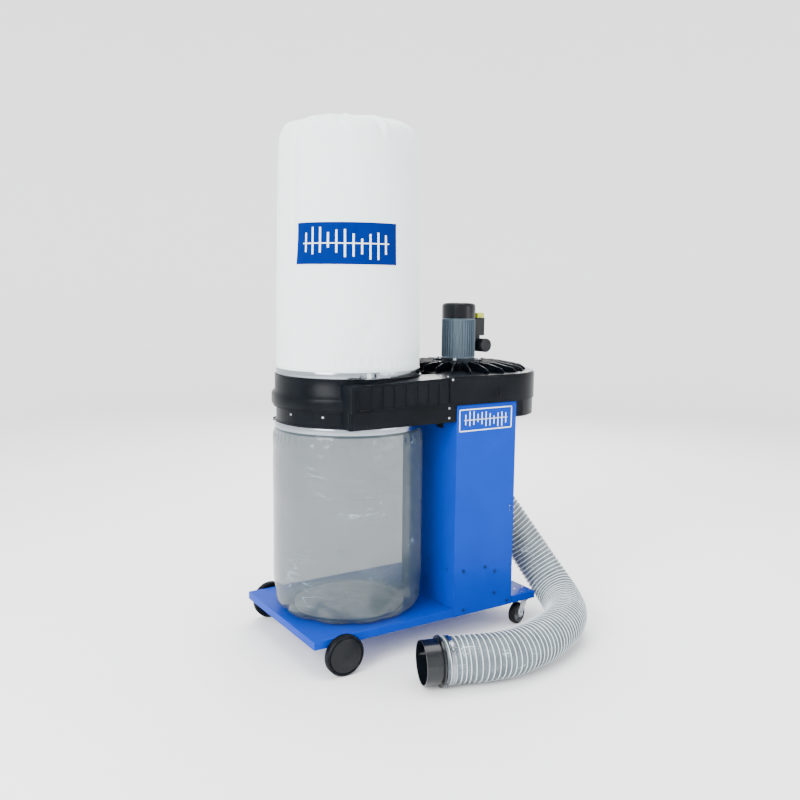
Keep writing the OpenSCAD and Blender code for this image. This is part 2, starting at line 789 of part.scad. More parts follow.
module end_shield() {
    base = seat_z + plate_t;
    color("#24292e") difference() {
        union() {
            translate([fan_x, 0, base]) cylinder(r = motor_r + 1, h = shield_t - gap);
            for (i = [0 : 3]) translate([fan_x, 0, base]) rotate(45 + i * 90) {
                translate([screw_circle, 0, 0]) cylinder(r = 9, h = 7);
                translate([motor_r - 10, -9, 0]) cube([screw_circle - motor_r + 10, 18, 7]);
            }
        }
        translate([fan_x, 0, base - 1]) cylinder(r = shaft_r + 2, h = shield_t + 2);
        translate([fan_x, 0, base + 2]) cylinder(r = bearing_r + 0.02, h = shield_t);
        motor_screw_places() translate([0, 0, -30]) cylinder(r = 3 + hole_gap, h = 40, $fn = 32);
    }
}

module motor_body() {
    color("#50606e") translate([fan_x, 0, body_z]) difference() {
        union() {
            cylinder(r = core_r, h = motor_h);
            for (i = [0 : fin_n - 1]) rotate(i * 360 / fin_n)
                translate([core_r - 1, -1.2, 3]) cube([fin_h + 1, 2.4, motor_h - 6]);
        }
        translate([0, 0, -1]) cylinder(r = core_r - 4, h = motor_h + 2);
    }
}

stack_z = body_z + 28;
stack_h = 72;
module stator() {
    bore_r = core_r * 0.55;
    color("#7a5a3a") translate([fan_x, 0, 0]) {
        translate([0, 0, stack_z]) tube(core_r - 4, bore_r, stack_h);
        for (z = [stack_z - 16, stack_z + stack_h])
            translate([0, 0, z]) tube(core_r - 9, bore_r + 3, 16);
    }
}

module rotor() {
    color("#9aa0a6") translate([fan_x, 0, stack_z])
        tube(core_r * 0.55 - 0.5, shaft_r + 0.02, stack_h);
}

module motor_shaft() {
    top = body_top + 28;
    color("#c2c6ca") translate([fan_x, 0, impeller_high - 48])
        cylinder(r = shaft_r, h = top - impeller_high + 48);
}

lower_bearing_z = seat_z + plate_t + 2;
upper_bearing_z = body_top - 16;
module bearings() {
    color("#b4b9be") translate([fan_x, 0, 0])
        for (z = [lower_bearing_z, upper_bearing_z]) translate([0, 0, z])
            difference() {
                cylinder(r = bearing_r, h = bearing_w - 2);
                translate([0, 0, -1]) cylinder(r = shaft_r + 0.05, h = bearing_w + 2);
            }
}

module top_shield() {
    color("#24292e") translate([fan_x, 0, 0]) difference() {
        union() {
            translate([0, 0, upper_bearing_z - 2]) cylinder(r = bearing_r + 5, h = bearing_w + 2);
            translate([0, 0, body_top - 8]) cylinder(r = core_r - 4, h = 8);
            translate([0, 0, body_top]) cylinder(r = core_r, h = 4);
        }
        translate([0, 0, upper_bearing_z - 3]) cylinder(r = shaft_r + 2, h = 60);
        translate([0, 0, upper_bearing_z - 3]) cylinder(r = bearing_r + 0.02, h = bearing_w + 1);
    }
}

module cooling_fan() {
    fan_z = body_top + 9;
    color("#2a2d30") translate([fan_x, 0, fan_z]) difference() {
        union() {
            cylinder(r = shaft_r + 5, h = 19);
            cylinder(r = core_r - 8, h = 2);
            for (i = [0 : 6]) rotate(i * 360 / 7)
                translate([shaft_r + 3, -1, 1]) cube([core_r - 12 - shaft_r, 2, 17]);
        }
        translate([0, 0, -1]) cylinder(r = shaft_r + 0.02, h = 30);
    }
}

module fan_cowl() {
    cowl_t = 1.5;
    round = 14;
    color("#0d0f12") translate([fan_x, 0, 0]) difference() {
        rotate_extrude($fn = 144) difference() {
            union() {
                translate([0, body_top]) square([motor_r, cowl_h - round]);
                translate([0, body_top]) square([motor_r - round, cowl_h]);
                translate([motor_r - round, cowl_top - round]) circle(r = round, $fn = 64);
            }
            translate([-1, body_top - 1]) {
                square([motor_r - cowl_t + 1, cowl_h - round + 1]);
                square([motor_r - round + 1, cowl_h - cowl_t + 1]);
            }
            translate([motor_r - round, cowl_top - round]) circle(r = round - cowl_t, $fn = 64);
            translate([-100, 0]) square([100, 3000]);
        }
        // air slots in the top
        for (i = [0 : 11]) rotate(i * 30)
            translate([12, -2, cowl_top - 5]) cube([24, 4, 10]);
    }
}

// ---------------------------------------------------------------- switch and capacitor

module motor_cut() {
    translate([fan_x, 0, body_z - 20]) cylinder(r = motor_r + gap, h = motor_h + 60);
}

module terminal_box() {
    color("#101317") difference() {
        union() {
            translate([box_x0, -box_w / 2, box_z0]) cube([box_x1 - box_x0 - 8, box_w, box_z1 - box_z0]);
            translate([box_x0, -box_w / 2 + 8, box_z0]) cube([box_x1 - box_x0, box_w - 16, box_z1 - box_z0]);
            for (side = [-1, 1])
                translate([box_x1 - 8, side * (box_w / 2 - 8), box_z0]) cylinder(r = 8, h = box_z1 - box_z0);
            // cradle of the capacitor
            translate([box_x0, -18, cap_z - 6]) cube([cap_x - box_x0 - 4, 36, box_z0 - cap_z + 6 + eps]);
        }
        motor_cut();
        translate([cap_x, 100, cap_z]) rotate([90, 0, 0]) cylinder(r = cap_r + 0.1, h = 200);
        // room inside, open at the top under the switch panel
        translate([fan_x + motor_r + 4, -box_w / 2 + 3, box_z0 + 3])
            cube([box_x1 - fan_x - motor_r - 7, box_w - 6, box_z1 - box_z0]);
        translate([fan_x + motor_r + 14, box_w / 2 + 5, box_z0 + 22]) rotate([90, 0, 0])
            cylinder(r = 8 + hole_gap, h = 20, $fn = 48);
    }
}

module cable_gland() {
    color("#1a1d20") translate([fan_x + motor_r + 14, box_w / 2, box_z0 + 22]) rotate([-90, 0, 0])
        difference() {
            union() {
                translate([0, 0, -8]) cylinder(r = 8, h = 9, $fn = 48);
                cylinder(r = 11, h = 6, $fn = 6);
                translate([0, 0, 6 - eps]) cylinder(r1 = 10, r2 = 7.5, h = 12);
            }
            translate([0, 0, -10]) cylinder(r = 4.5, h = 40, $fn = 48);
        }
}

module switch_panel() {
    panel_x = fan_x + motor_r + 0.5;
    color("#14171a") difference() {
        union() {
            translate([panel_x, -box_w / 2 + 1, box_z1]) cube([box_x1 - panel_x - 1, box_w - 2, 3]);
            // pillars of the cover's hinge
            for (x = [panel_x, box_x1 - 4.5])
                translate([x, flip_y - 3.5, box_z1 + 3 - eps]) cube([3.5, 7, 8]);
        }
        for (y = button_ys) translate([button_x, y, box_z1 - 1]) cylinder(r = button_r + 0.25, h = 6);
        translate([panel_x - 5, flip_y, flip_z]) rotate([0, 90, 0]) cylinder(r = 1.58, h = 60, $fn = 32);
    }
}

// A push button whose neck passes the panel and whose foot keeps it in
module button(y) {
    translate([button_x, y, 0]) {
        translate([0, 0, box_z1 - 1]) cylinder(r = button_r, h = 8);
        translate([0, 0, box_z1 - 2.8]) cylinder(r = button_r + 1.5, h = 2.5);
    }
}

module start_button() color("#2f9e44") button(button_ys[0]);
module stop_button() color("#d0302b") button(button_ys[1]);

// Hinged cover over the buttons, with its pins moulded on
module flip_cover() {
    x0 = fan_x + motor_r + 4.5;
    x1 = box_x1 - 5.1;
    cover_y0 = -box_w / 2 + 2;
    low = box_z1 + 3.4;
    high = box_z1 + 20;
    color("#d7e146") {
        difference() {
            translate([x0, cover_y0, low]) cube([x1 - x0, flip_y - 5 - cover_y0, high - low]);
            translate([x0 + 1.6, cover_y0 + 1.6, low - 1])
                cube([x1 - x0 - 3.2, flip_y - 5 - cover_y0 - 3.2, high - low - 1]);
        }
        // arms to the hinge
        for (x = [x0, x1 - 3]) translate([x, flip_y - 6, flip_z - 3]) cube([3, 6, 6]);
        translate([x0, flip_y, flip_z]) rotate([0, 90, 0]) cylinder(r = 3, h = x1 - x0, $fn = 48);
        translate([x0 - 3, flip_y, flip_z]) rotate([0, 90, 0]) cylinder(r = 1.5, h = x1 - x0 + 6, $fn = 32);
    }
}

module capacitor() {
    color("#15181b") translate([cap_x, 34, cap_z]) rotate([90, 0, 0]) {
        cylinder(r = cap_r, h = 80);
        translate([0, 0, 80 - eps]) cylinder(r1 = cap_r - 1, r2 = cap_r - 3, h = 2);
    }
}

// ---------------------------------------------------------------- bands, latches and bags

latch_p0 = [0, 7];        // lever's pivot: along the band, out from the band
latch_p1 = [-9, 5];       // loop's pivot in the closed lever
loop_z = 9;
wire_r = 1.2;
jaw_r = wire_r + run_gap;
jaw_turn = atan((latch_p0[1] - latch_p1[1]) / (latch_p0[0] - latch_p1[0]));

// Local frame on a band: X runs clockwise along it, Y points outwards
module on_band(turn, r, z) {
    translate([ring_x, 0, z]) rotate(turn - 90) translate([0, r, 0]) children();
}

// Pad that follows the band's curve, in the local frame
module band_pad(r, x0, x1, t) {
    half = 7.6;
    intersection() {
        translate([x0, -30, -half]) cube([x1 - x0, 60, 2 * half]);
        translate([0, -r, -half]) difference() {
            cylinder(r = r + t, h = 2 * half, $fn = 200);
            translate([0, 0, -1]) cylinder(r = r - 0.6, h = 2 * half + 2, $fn = 200);
        }
    }
}

module band(turn, hem_r, z) {
    r = hem_r + gap + band_t;
    difference() {
        translate([ring_x, 0, z]) tube(r, hem_r + gap, band_h);
        on_band(turn, r, z + band_h / 2) translate([13, -20, -20]) cube([14, 40, 40]);
    }
    on_band(turn, r, z + band_h / 2) {
        // lever's base with its two ears
        band_pad(r, -10, 10, 1.2);
        for (side = [-1, 1]) difference() {
            translate([-4, 0, side > 0 ? 6.4 : -7.6]) cube([8, 11, 1.2]);
            translate([latch_p0[0], latch_p0[1], -20]) cylinder(r = 1.5, h = 40, $fn = 32);
        }
        translate([latch_p0[0], latch_p0[1], -7.6]) cylinder(r = 1.5 + eps, h = 15.2, $fn = 32);
        // catch
        band_pad(r, 34, 52, 1.2);
        translate([42, -4.8, -2.5]) cube([2, 12.8, 5]);
    }
}

module lever(turn, hem_r, z) {
    r = hem_r + gap + band_t;
    on_band(turn, r, z + band_h / 2) difference() {
        union() {
            for (side = [-1, 1]) translate([0, 0, side > 0 ? 4.4 : -6]) {
                translate([latch_p0[0], latch_p0[1], 0]) cylinder(r = 4, h = 1.6, $fn = 48);
                translate([latch_p1[0], latch_p1[1], 0]) cylinder(r = 3, h = 1.6, $fn = 48);
                translate([latch_p1[0], latch_p1[1], 0]) cube([9, 5, 1.6]);
            }
            translate([-34, latch_p0[1] + 2.4, -6]) cube([36, 1.6, 12]);
            translate([-40, latch_p0[1] + 3.4, -6]) rotate(-10) cube([8, 1.6, 12]);
        }
        translate([latch_p0[0], latch_p0[1], -20]) cylinder(r = 1.5 + run_gap, h = 40, $fn = 32);
        translate([latch_p1[0], latch_p1[1], -20]) {
            cylinder(r = jaw_r, h = 40, $fn = 32);
            // the jaw's mouth, which lets go of the loop as the lever swings out
            rotate(jaw_turn) translate([-jaw_r, -6, 0]) cube([jaw_r + 3.1, 6, 40]);
        }
    }
}

module loop(turn, hem_r, z) {
    r = hem_r + gap + band_t;
    y = latch_p1[1];
    points = [
        [latch_p1[0], y, -loop_z], [latch_p1[0], y, loop_z], [34, y, loop_z],
        [46, y, 3.6], [46, y, -3.6], [34, y, -loop_z]
    ];
    on_band(turn, r, z + band_h / 2)
        for (i = [0 : len(points) - 1]) {
            rod(points[i], points[(i + 1) % len(points)], wire_r);
            translate(points[i]) sphere(r = wire_r + 0.15, $fn = 32);
        }
}

module upper_band() color("#cfd6dc") band(upper_latch_turn, upper_hem_r, upper_band_z);
module upper_lever() color("#e2e7eb") lever(upper_latch_turn, upper_hem_r, upper_band_z);
module upper_loop() color("#e2e7eb") loop(upper_latch_turn, upper_hem_r, upper_band_z);
module lower_band() color("#cfd6dc") band(lower_latch_turn, lower_hem_r, lower_band_z);
module lower_lever() color("#e2e7eb") lever(lower_latch_turn, lower_hem_r, lower_band_z);
module lower_loop() color("#e2e7eb") loop(lower_latch_turn, lower_hem_r, lower_band_z);

// Half section of the filter bag, drawn in by t
function filter_section(t) =
    let (low = upper_band_z - 1, body = ring_r - 5, top = bag_top)
    [
        [upper_hem_r - t, low - (t > 0 ? 1 : 0)], [upper_hem_r - t, low + band_h + 4],
        [body - t, low + 60], [body - 2 - t, low + 300],
        [bag_shoulder_r - t, top - 110], [bag_shoulder_r - 6 - t, top - 60],
        [bag_shoulder_r - 28 - t, top - 24 - t], [bag_shoulder_r - 80, top - 6 - t], [0, top - t]
    ];

module bag_shell(outer, inner) {
    translate([ring_x, 0, 0]) rotate_extrude($fn = 120) difference() {
        polygon(concat(outer, [[0, outer[0][1]]]));
        polygon(concat(inner, [[0, inner[0][1]]]));
    }
}

module filter_bag() color("#e8f2f1") bag_shell(filter_section(0), filter_section(cloth_t));

// Half section of the chip bag, drawn in by t
function chip_section(t) =
    let (high = housing_z - 1, floor_z = base_z + 0.4)
    [
        [lower_hem_r - t, high + (t > 0 ? 1 : 0)], [lower_hem_r - t, high - band_h - 6],
        [chip_r - 4 - t, high - band_h - 22], [chip_r - t, high - band_h - 60],
        [chip_r - t, floor_z + 34], [chip_r - 8 - t, floor_z + 12 + t / 2],
        [chip_r - 26 - t, floor_z + t], [0, floor_z + t]
    ];

module chip_bag() color("#aab6ba") bag_shell(chip_section(0), chip_section(film_t));

// ---------------------------------------------------------------- hose

function unit(v) = v / norm(v);

// Direction of the route at each of its points
function tangents(p) = [
    for (i = [0 : len(p) - 1]) unit(p[min(i + 1, len(p) - 1)] - p[max(i - 1, 0)])
];

// A side direction carried along the route without twisting
function carried(t, n, i = 0) = i >= len(t) ? [] :
    let (m = unit(n - (n * t[i]) * t[i])) concat([m], carried(t, m, i + 1));

// Points of one ring after another along the route, at radius r
function ring_points(p, r) =
    let (t = tangents(p), n = carried(t, [0, 1, 0]))
    [
        for (i = [0 : len(p) - 1]) let (b = cross(t[i], n[i]))
            for (k = [0 : hose_sides - 1])
                p[i] + r * (cos(k * 360 / hose_sides) * n[i] + sin(k * 360 / hose_sides) * b)
    ];

module hose() {
    n = len(hose_route);
    s = hose_sides;
    inner = n * s;
    color("#b9c1c4") polyhedron(
        points = concat(ring_points(hose_route, hose_r), ring_points(hose_route, hose_r - hose_wall)),
        faces = concat(
            [for (i = [0 : n - 2]) for (k = [0 : s - 1]) let (a = i * s, j = (k + 1) % s)
                [a + k, a + s + k, a + s + j, a + j]],
            [for (i = [0 : n - 2]) for (k = [0 : s - 1]) let (a = inner + i * s, j = (k + 1) % s)
                [a + k, a + j, a + s + j, a + s + k]],
            [for (k = [0 : s - 1]) let (j = (k + 1) % s) [k, j, inner + j, inner + k]],
            [for (k = [0 : s - 1]) let (a = (n - 1) * s, j = (k + 1) % s)
                [a + k, inner + a + k, inner + a + j, a + j]]
        )
    );
}

// Worm-drive clamp about Z
module hose_clamp() {
    tube(hose_r + 1.4, hose_r + 0.2, 12);
    translate([hose_r + 0.9, -9, 0.5]) cube([9, 18, 11]);
    translate([hose_r + 5.5, 15, 6]) rotate([90, 0, 0]) cylinder(r = 4, h = 30, $fn = 32);
}

module hose_clamps() {
    color("#bcc3c9") {
        translate([fan_x, 0, housing_z - 36]) rotate(-60) hose_clamp();
        translate(connector_at(70)) rotate([0, 90, connector_turn]) rotate(-145) hose_clamp();
    }
}

module hose_connector() {
    color("#101318") translate(connector_mouth) rotate([0, 90, connector_turn]) difference() {
        union() {
            cylinder(r = connector_bore_r + 3, h = 50, $fn = 160);
            translate([0, 0, 48]) cylinder(r = connector_flange_r, h = 5, $fn = 160);
            translate([0, 0, 50]) cylinder(r = spigot_r, h = 58, $fn = 160);
        }
        translate([0, 0, -1]) cylinder(r = connector_bore_r, h = 46, $fn = 160);
        translate([0, 0, 44]) cylinder(r = spigot_r - 3, h = 80, $fn = 160);
    }
}

base_plate();
column();
column_screws();
column_brackets();
ring_bracket();
axle();
axle_brackets();
axle_retainers();
wheel_front();
wheel_rear();
hubcap_front();
hubcap_rear();
caster_plates();
caster_bolts();
caster_fork_front();
caster_fork_rear();
caster_axle_front();
caster_axle_rear();
caster_hub_front();
caster_hub_rear();
caster_tyre_front();
caster_tyre_rear();
ring_lower();
ring_upper();
ring_screws();
fan_housing();
fan_cover();
housing_screws();
impeller();
impeller_bolt();
motor_plate();
motor_screws();
end_shield();
motor_body();
stator();
rotor();
motor_shaft();
bearings();
top_shield();
cooling_fan();
fan_cowl();
terminal_box();
switch_panel();
start_button();
stop_button();
flip_cover();
cable_gland();
capacitor();
upper_band();
upper_lever();
upper_loop();
lower_band();
lower_lever();
lower_loop();
filter_bag();
chip_bag();
inlet_spigot();
hose();
hose_clamps();
hose_connector();
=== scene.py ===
"""Looks of a mobile dust collector: finishes, cloth and film bags, wire hose, screws and labels."""

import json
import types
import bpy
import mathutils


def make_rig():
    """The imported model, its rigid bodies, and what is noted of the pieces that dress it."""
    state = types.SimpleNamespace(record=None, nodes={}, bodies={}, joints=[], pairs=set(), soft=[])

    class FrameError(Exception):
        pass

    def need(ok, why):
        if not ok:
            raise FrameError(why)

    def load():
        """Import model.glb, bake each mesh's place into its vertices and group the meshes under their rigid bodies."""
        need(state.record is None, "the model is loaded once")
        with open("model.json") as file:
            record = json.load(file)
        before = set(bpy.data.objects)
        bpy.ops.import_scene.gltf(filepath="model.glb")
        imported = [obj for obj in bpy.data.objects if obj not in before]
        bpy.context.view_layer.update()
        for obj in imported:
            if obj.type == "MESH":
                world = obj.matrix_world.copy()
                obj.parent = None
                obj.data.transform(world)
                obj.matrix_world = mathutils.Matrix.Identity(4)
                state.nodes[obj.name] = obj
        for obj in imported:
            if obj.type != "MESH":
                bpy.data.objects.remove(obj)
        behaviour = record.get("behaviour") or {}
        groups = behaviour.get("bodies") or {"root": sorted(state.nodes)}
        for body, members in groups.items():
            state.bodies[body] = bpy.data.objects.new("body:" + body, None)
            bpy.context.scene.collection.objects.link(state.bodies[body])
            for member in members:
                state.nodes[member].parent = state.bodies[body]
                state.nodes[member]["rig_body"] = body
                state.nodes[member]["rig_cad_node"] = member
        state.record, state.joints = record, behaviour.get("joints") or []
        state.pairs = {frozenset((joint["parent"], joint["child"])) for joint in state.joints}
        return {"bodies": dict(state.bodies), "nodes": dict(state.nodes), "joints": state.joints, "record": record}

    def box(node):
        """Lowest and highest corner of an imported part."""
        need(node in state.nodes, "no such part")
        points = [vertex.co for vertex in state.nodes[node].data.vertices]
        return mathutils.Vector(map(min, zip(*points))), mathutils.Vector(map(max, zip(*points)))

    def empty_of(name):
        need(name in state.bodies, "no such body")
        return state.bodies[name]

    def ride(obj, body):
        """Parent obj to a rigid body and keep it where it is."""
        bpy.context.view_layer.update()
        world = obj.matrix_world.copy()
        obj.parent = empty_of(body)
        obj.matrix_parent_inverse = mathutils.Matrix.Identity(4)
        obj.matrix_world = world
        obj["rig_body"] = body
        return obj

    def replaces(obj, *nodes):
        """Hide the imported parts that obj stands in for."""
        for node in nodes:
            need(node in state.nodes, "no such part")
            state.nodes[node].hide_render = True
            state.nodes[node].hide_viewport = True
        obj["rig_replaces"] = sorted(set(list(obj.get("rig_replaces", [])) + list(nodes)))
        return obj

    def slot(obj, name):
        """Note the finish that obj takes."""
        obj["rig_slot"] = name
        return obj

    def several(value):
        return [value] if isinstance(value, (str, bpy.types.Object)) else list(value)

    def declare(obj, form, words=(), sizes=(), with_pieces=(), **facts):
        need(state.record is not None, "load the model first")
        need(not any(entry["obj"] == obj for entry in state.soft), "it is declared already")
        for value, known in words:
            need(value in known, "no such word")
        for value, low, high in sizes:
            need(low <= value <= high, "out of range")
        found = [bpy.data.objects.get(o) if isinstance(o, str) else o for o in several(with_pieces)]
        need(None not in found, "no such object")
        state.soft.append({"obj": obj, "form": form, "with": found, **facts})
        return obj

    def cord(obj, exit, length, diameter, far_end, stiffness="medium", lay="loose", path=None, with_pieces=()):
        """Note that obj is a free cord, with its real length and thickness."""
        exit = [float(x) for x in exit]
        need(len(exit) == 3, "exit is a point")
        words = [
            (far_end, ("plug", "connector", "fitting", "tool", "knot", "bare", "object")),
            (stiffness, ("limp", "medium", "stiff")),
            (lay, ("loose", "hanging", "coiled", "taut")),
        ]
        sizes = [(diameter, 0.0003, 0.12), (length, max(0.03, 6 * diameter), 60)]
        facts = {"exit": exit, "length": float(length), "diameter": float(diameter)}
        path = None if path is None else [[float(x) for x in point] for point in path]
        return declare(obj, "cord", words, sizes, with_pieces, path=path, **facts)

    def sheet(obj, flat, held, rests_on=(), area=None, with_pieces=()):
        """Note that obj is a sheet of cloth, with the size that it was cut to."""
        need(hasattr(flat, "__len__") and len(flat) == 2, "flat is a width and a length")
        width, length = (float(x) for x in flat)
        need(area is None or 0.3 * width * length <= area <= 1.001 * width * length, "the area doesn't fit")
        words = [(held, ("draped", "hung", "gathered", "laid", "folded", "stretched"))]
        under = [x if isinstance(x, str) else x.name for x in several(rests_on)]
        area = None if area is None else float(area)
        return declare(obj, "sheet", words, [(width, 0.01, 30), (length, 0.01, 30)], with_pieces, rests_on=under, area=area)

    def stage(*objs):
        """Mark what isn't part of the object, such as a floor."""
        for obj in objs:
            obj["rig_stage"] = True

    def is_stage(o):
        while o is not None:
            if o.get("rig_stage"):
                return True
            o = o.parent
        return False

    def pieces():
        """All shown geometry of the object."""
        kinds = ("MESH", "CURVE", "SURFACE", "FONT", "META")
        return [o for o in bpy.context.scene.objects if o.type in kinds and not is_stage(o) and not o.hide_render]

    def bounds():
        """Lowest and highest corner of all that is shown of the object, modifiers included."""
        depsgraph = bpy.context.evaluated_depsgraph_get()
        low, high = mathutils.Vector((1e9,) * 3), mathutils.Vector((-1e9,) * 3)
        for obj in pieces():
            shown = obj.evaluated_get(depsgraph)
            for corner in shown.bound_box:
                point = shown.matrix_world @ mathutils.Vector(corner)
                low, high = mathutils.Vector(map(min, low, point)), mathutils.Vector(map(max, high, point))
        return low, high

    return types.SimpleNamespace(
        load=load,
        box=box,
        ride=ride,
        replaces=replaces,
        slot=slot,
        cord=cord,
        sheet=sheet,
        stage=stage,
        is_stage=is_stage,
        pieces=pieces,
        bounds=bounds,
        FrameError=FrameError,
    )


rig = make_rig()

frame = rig.load()
cad_low, cad_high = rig.bounds()

import json
import logging
import math
from dataclasses import dataclass, field
from enum import Enum
from typing import Callable, Iterable, Iterator, Optional, Sequence, Union

import bmesh
import bpy
import numpy as np
from mathutils import Matrix, Vector

log = logging.getLogger("dust_collector")
Color = tuple[float, float, float]
Point = tuple[float, float, float]
FULL_TURN = 2 * math.pi
SIZE_FILE = "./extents.json"
RING_X = -0.2065
STROKES = 11
COLUMN_FRONT = -0.2412


# ------------------------------------------------------------------ nodes as expressions


class Value:
    """A socket of a node tree that Python's operators work on."""

    def __init__(self, nodes: "NodeMaker", socket: bpy.types.NodeSocket) -> None:
        """Keeps the socket and the maker of its tree."""
        self.nodes = nodes
        self.socket = socket

    def _math(self, operation: str, *terms: Union[float, "Value"]) -> "Value":
        """Adds a Math node, or a Vector Math node where this socket is a vector.

        Args:
            operation: The node's operation.
            terms: The node's inputs in order.

        Returns:
            The node's result.
        """
        vector = self.socket.type == "VECTOR"
        kind = "ShaderNodeVectorMath" if vector else "ShaderNodeMath"
        node = self.nodes.make(kind, dict(enumerate(terms)), operation=operation)
        return Value(self.nodes, node.outputs[0])

    def __add__(self, other: Union[float, "Value"]) -> "Value":
        """This plus other."""
        return self._math("ADD", self, other)

    __radd__ = __add__

    def __sub__(self, other: Union[float, "Value"]) -> "Value":
        """This minus other."""
        return self._math("SUBTRACT", self, other)

    def __rsub__(self, other: float) -> "Value":
        """Other minus this."""
        return self._math("SUBTRACT", other, self)

    def __mul__(self, other: Union[float, "Value"]) -> "Value":
        """This times other; a vector is scaled by a number."""
        if self.socket.type == "VECTOR":
            node = self.nodes.make(
                "ShaderNodeVectorMath", {"Vector": self, "Scale": other}, operation="SCALE"
            )
            return Value(self.nodes, node.outputs[0])
        return self._math("MULTIPLY", self, other)

    __rmul__ = __mul__

    def __truediv__(self, other: Union[float, "Value"]) -> "Value":
        """This divided by other."""
        return self._math("DIVIDE", self, other)

    def power(self, exponent: float) -> "Value":
        """This to the power of exponent."""
        return self._math("POWER", self, exponent)

    def sine(self) -> "Value":
        """The sine of this, an angle in radians."""
        return self._math("SINE", self)

    def cosine(self) -> "Value":
        """The cosine of this, an angle in radians."""
        return self._math("COSINE", self)

    def away_from(self, middle: float) -> "Value":
        """How far this is from a middle, on either side."""
        return self._math("ABSOLUTE", self - middle)

    def step(self, low: float, high: float) -> "Value":
        """A smooth step from 0 at low to 1 at high."""
        return self.nodes.value(
            "ShaderNodeMapRange",
            "Result",
            {"Value": self, "From Min": low, "From Max": high},
            interpolation_type="SMOOTHSTEP",
        )


class NodeMaker:
    """Makes the nodes of one shader or geometry tree."""

    def __init__(self, tree: bpy.types.NodeTree) -> None:
        """Keeps the tree."""
        self.tree = tree

    def make(
        self, kind: str, sockets: Optional[dict] = None, stops: Sequence = (), **settings: object
    ) -> bpy.types.Node:
        """Makes a node, sets its settings and then its sockets.

        Args:
            kind: The node's type.
            sockets: A value or a link for each named or numbered input.
            stops: Position and colour of a ramp's stops.
            settings: The node's own properties.

        Returns:
            The new node.
        """
        node = self.tree.nodes.new(kind)
        for name, setting in settings.items():
            setattr(node, name, setting)
        for i, (place, color) in enumerate(stops):
            ramp = node.color_ramp.elements
            stop = ramp[i] if i < 2 else ramp.new(place)
            stop.position = place
            stop.color = color
        for name, given in (sockets or {}).items():
            if isinstance(given, Value):
                self.tree.links.new(given.socket, node.inputs[name])
            else:
                node.inputs[name].default_value = given
        return node

    def value(
        self, kind: str, output: str, sockets: Optional[dict] = None, **settings: object
    ) -> Value:
        """Makes a node and returns one of its outputs to count with."""
        return Value(self, self.make(kind, sockets, **settings).outputs[output])

    def noise(
        self, place: Value, scale: float, detail: float, roughness: float, **more: float
    ) -> Value:
        """A noise at a place, from 0 to 1."""
        sockets = {"Vector": place, "Scale": scale, "Detail": detail, "Roughness": roughness}
        return self.value("ShaderNodeTexNoise", "Fac", sockets | more)

    def object_geometry(self, shown: Value) -> Value:
        """The geometry of an object that a tree is given."""
        return self.value("GeometryNodeObjectInfo", "Geometry", {"Object": shown})

    def attribute(self, name: str, kind: str) -> Value:
        """Reads a named attribute."""
        return self.value(
            "GeometryNodeInputNamedAttribute", "Attribute", {"Name": name}, data_type=kind
        )

    def store(self, shape: Value, name: str, value: Value) -> Value:
        """Stores a value on each point of a shape."""
        kind = "GeometryNodeStoreNamedAttribute"
        sockets = {"Geometry": shape, "Name": name, "Value": value}
        return self.value(kind, "Geometry", sockets, data_type="FLOAT", domain="POINT")

    def blend(self, share: Value, first: Color, second: Color) -> Value:
        """Mixes two colours by share.

        Args:
            share: 0 for the first colour, 1 for the second.
            first: The first colour.
            second: The second colour.

        Returns:
            The mixed colour.
        """
        stops = [(0.0, (*first, 1)), (1.0, (*second, 1))]
        ramp = self.make("ShaderNodeValToRGB", {"Fac": share}, stops)
        return Value(self, ramp.outputs["Color"])

    def mix_color(self, share: Value, first: Value, second: Color) -> Value:
        """Mixes a colour's socket with a fixed colour by share."""
        node = self.make("ShaderNodeMix", {"Factor": share}, data_type="RGBA", clamp_factor=True)
        a, b = (x for x in node.inputs if x.type == "RGBA")
        self.tree.links.new(first.socket, a)
        b.default_value = (*second, 1)
        return Value(self, next(x for x in node.outputs if x.type == "RGBA"))


class Texture(Enum):
    """What the surface of a finish is like close up."""

    PAINT = "sprayed and stoved paint"
    MOULDED = "moulded plastic with a fine grain"
    METAL = "drawn or plated metal"
    RUBBER = "moulded rubber"
    FELT = "needle felt cloth"
    FILM = "thin clear film"
    PRINT = "printed ink"


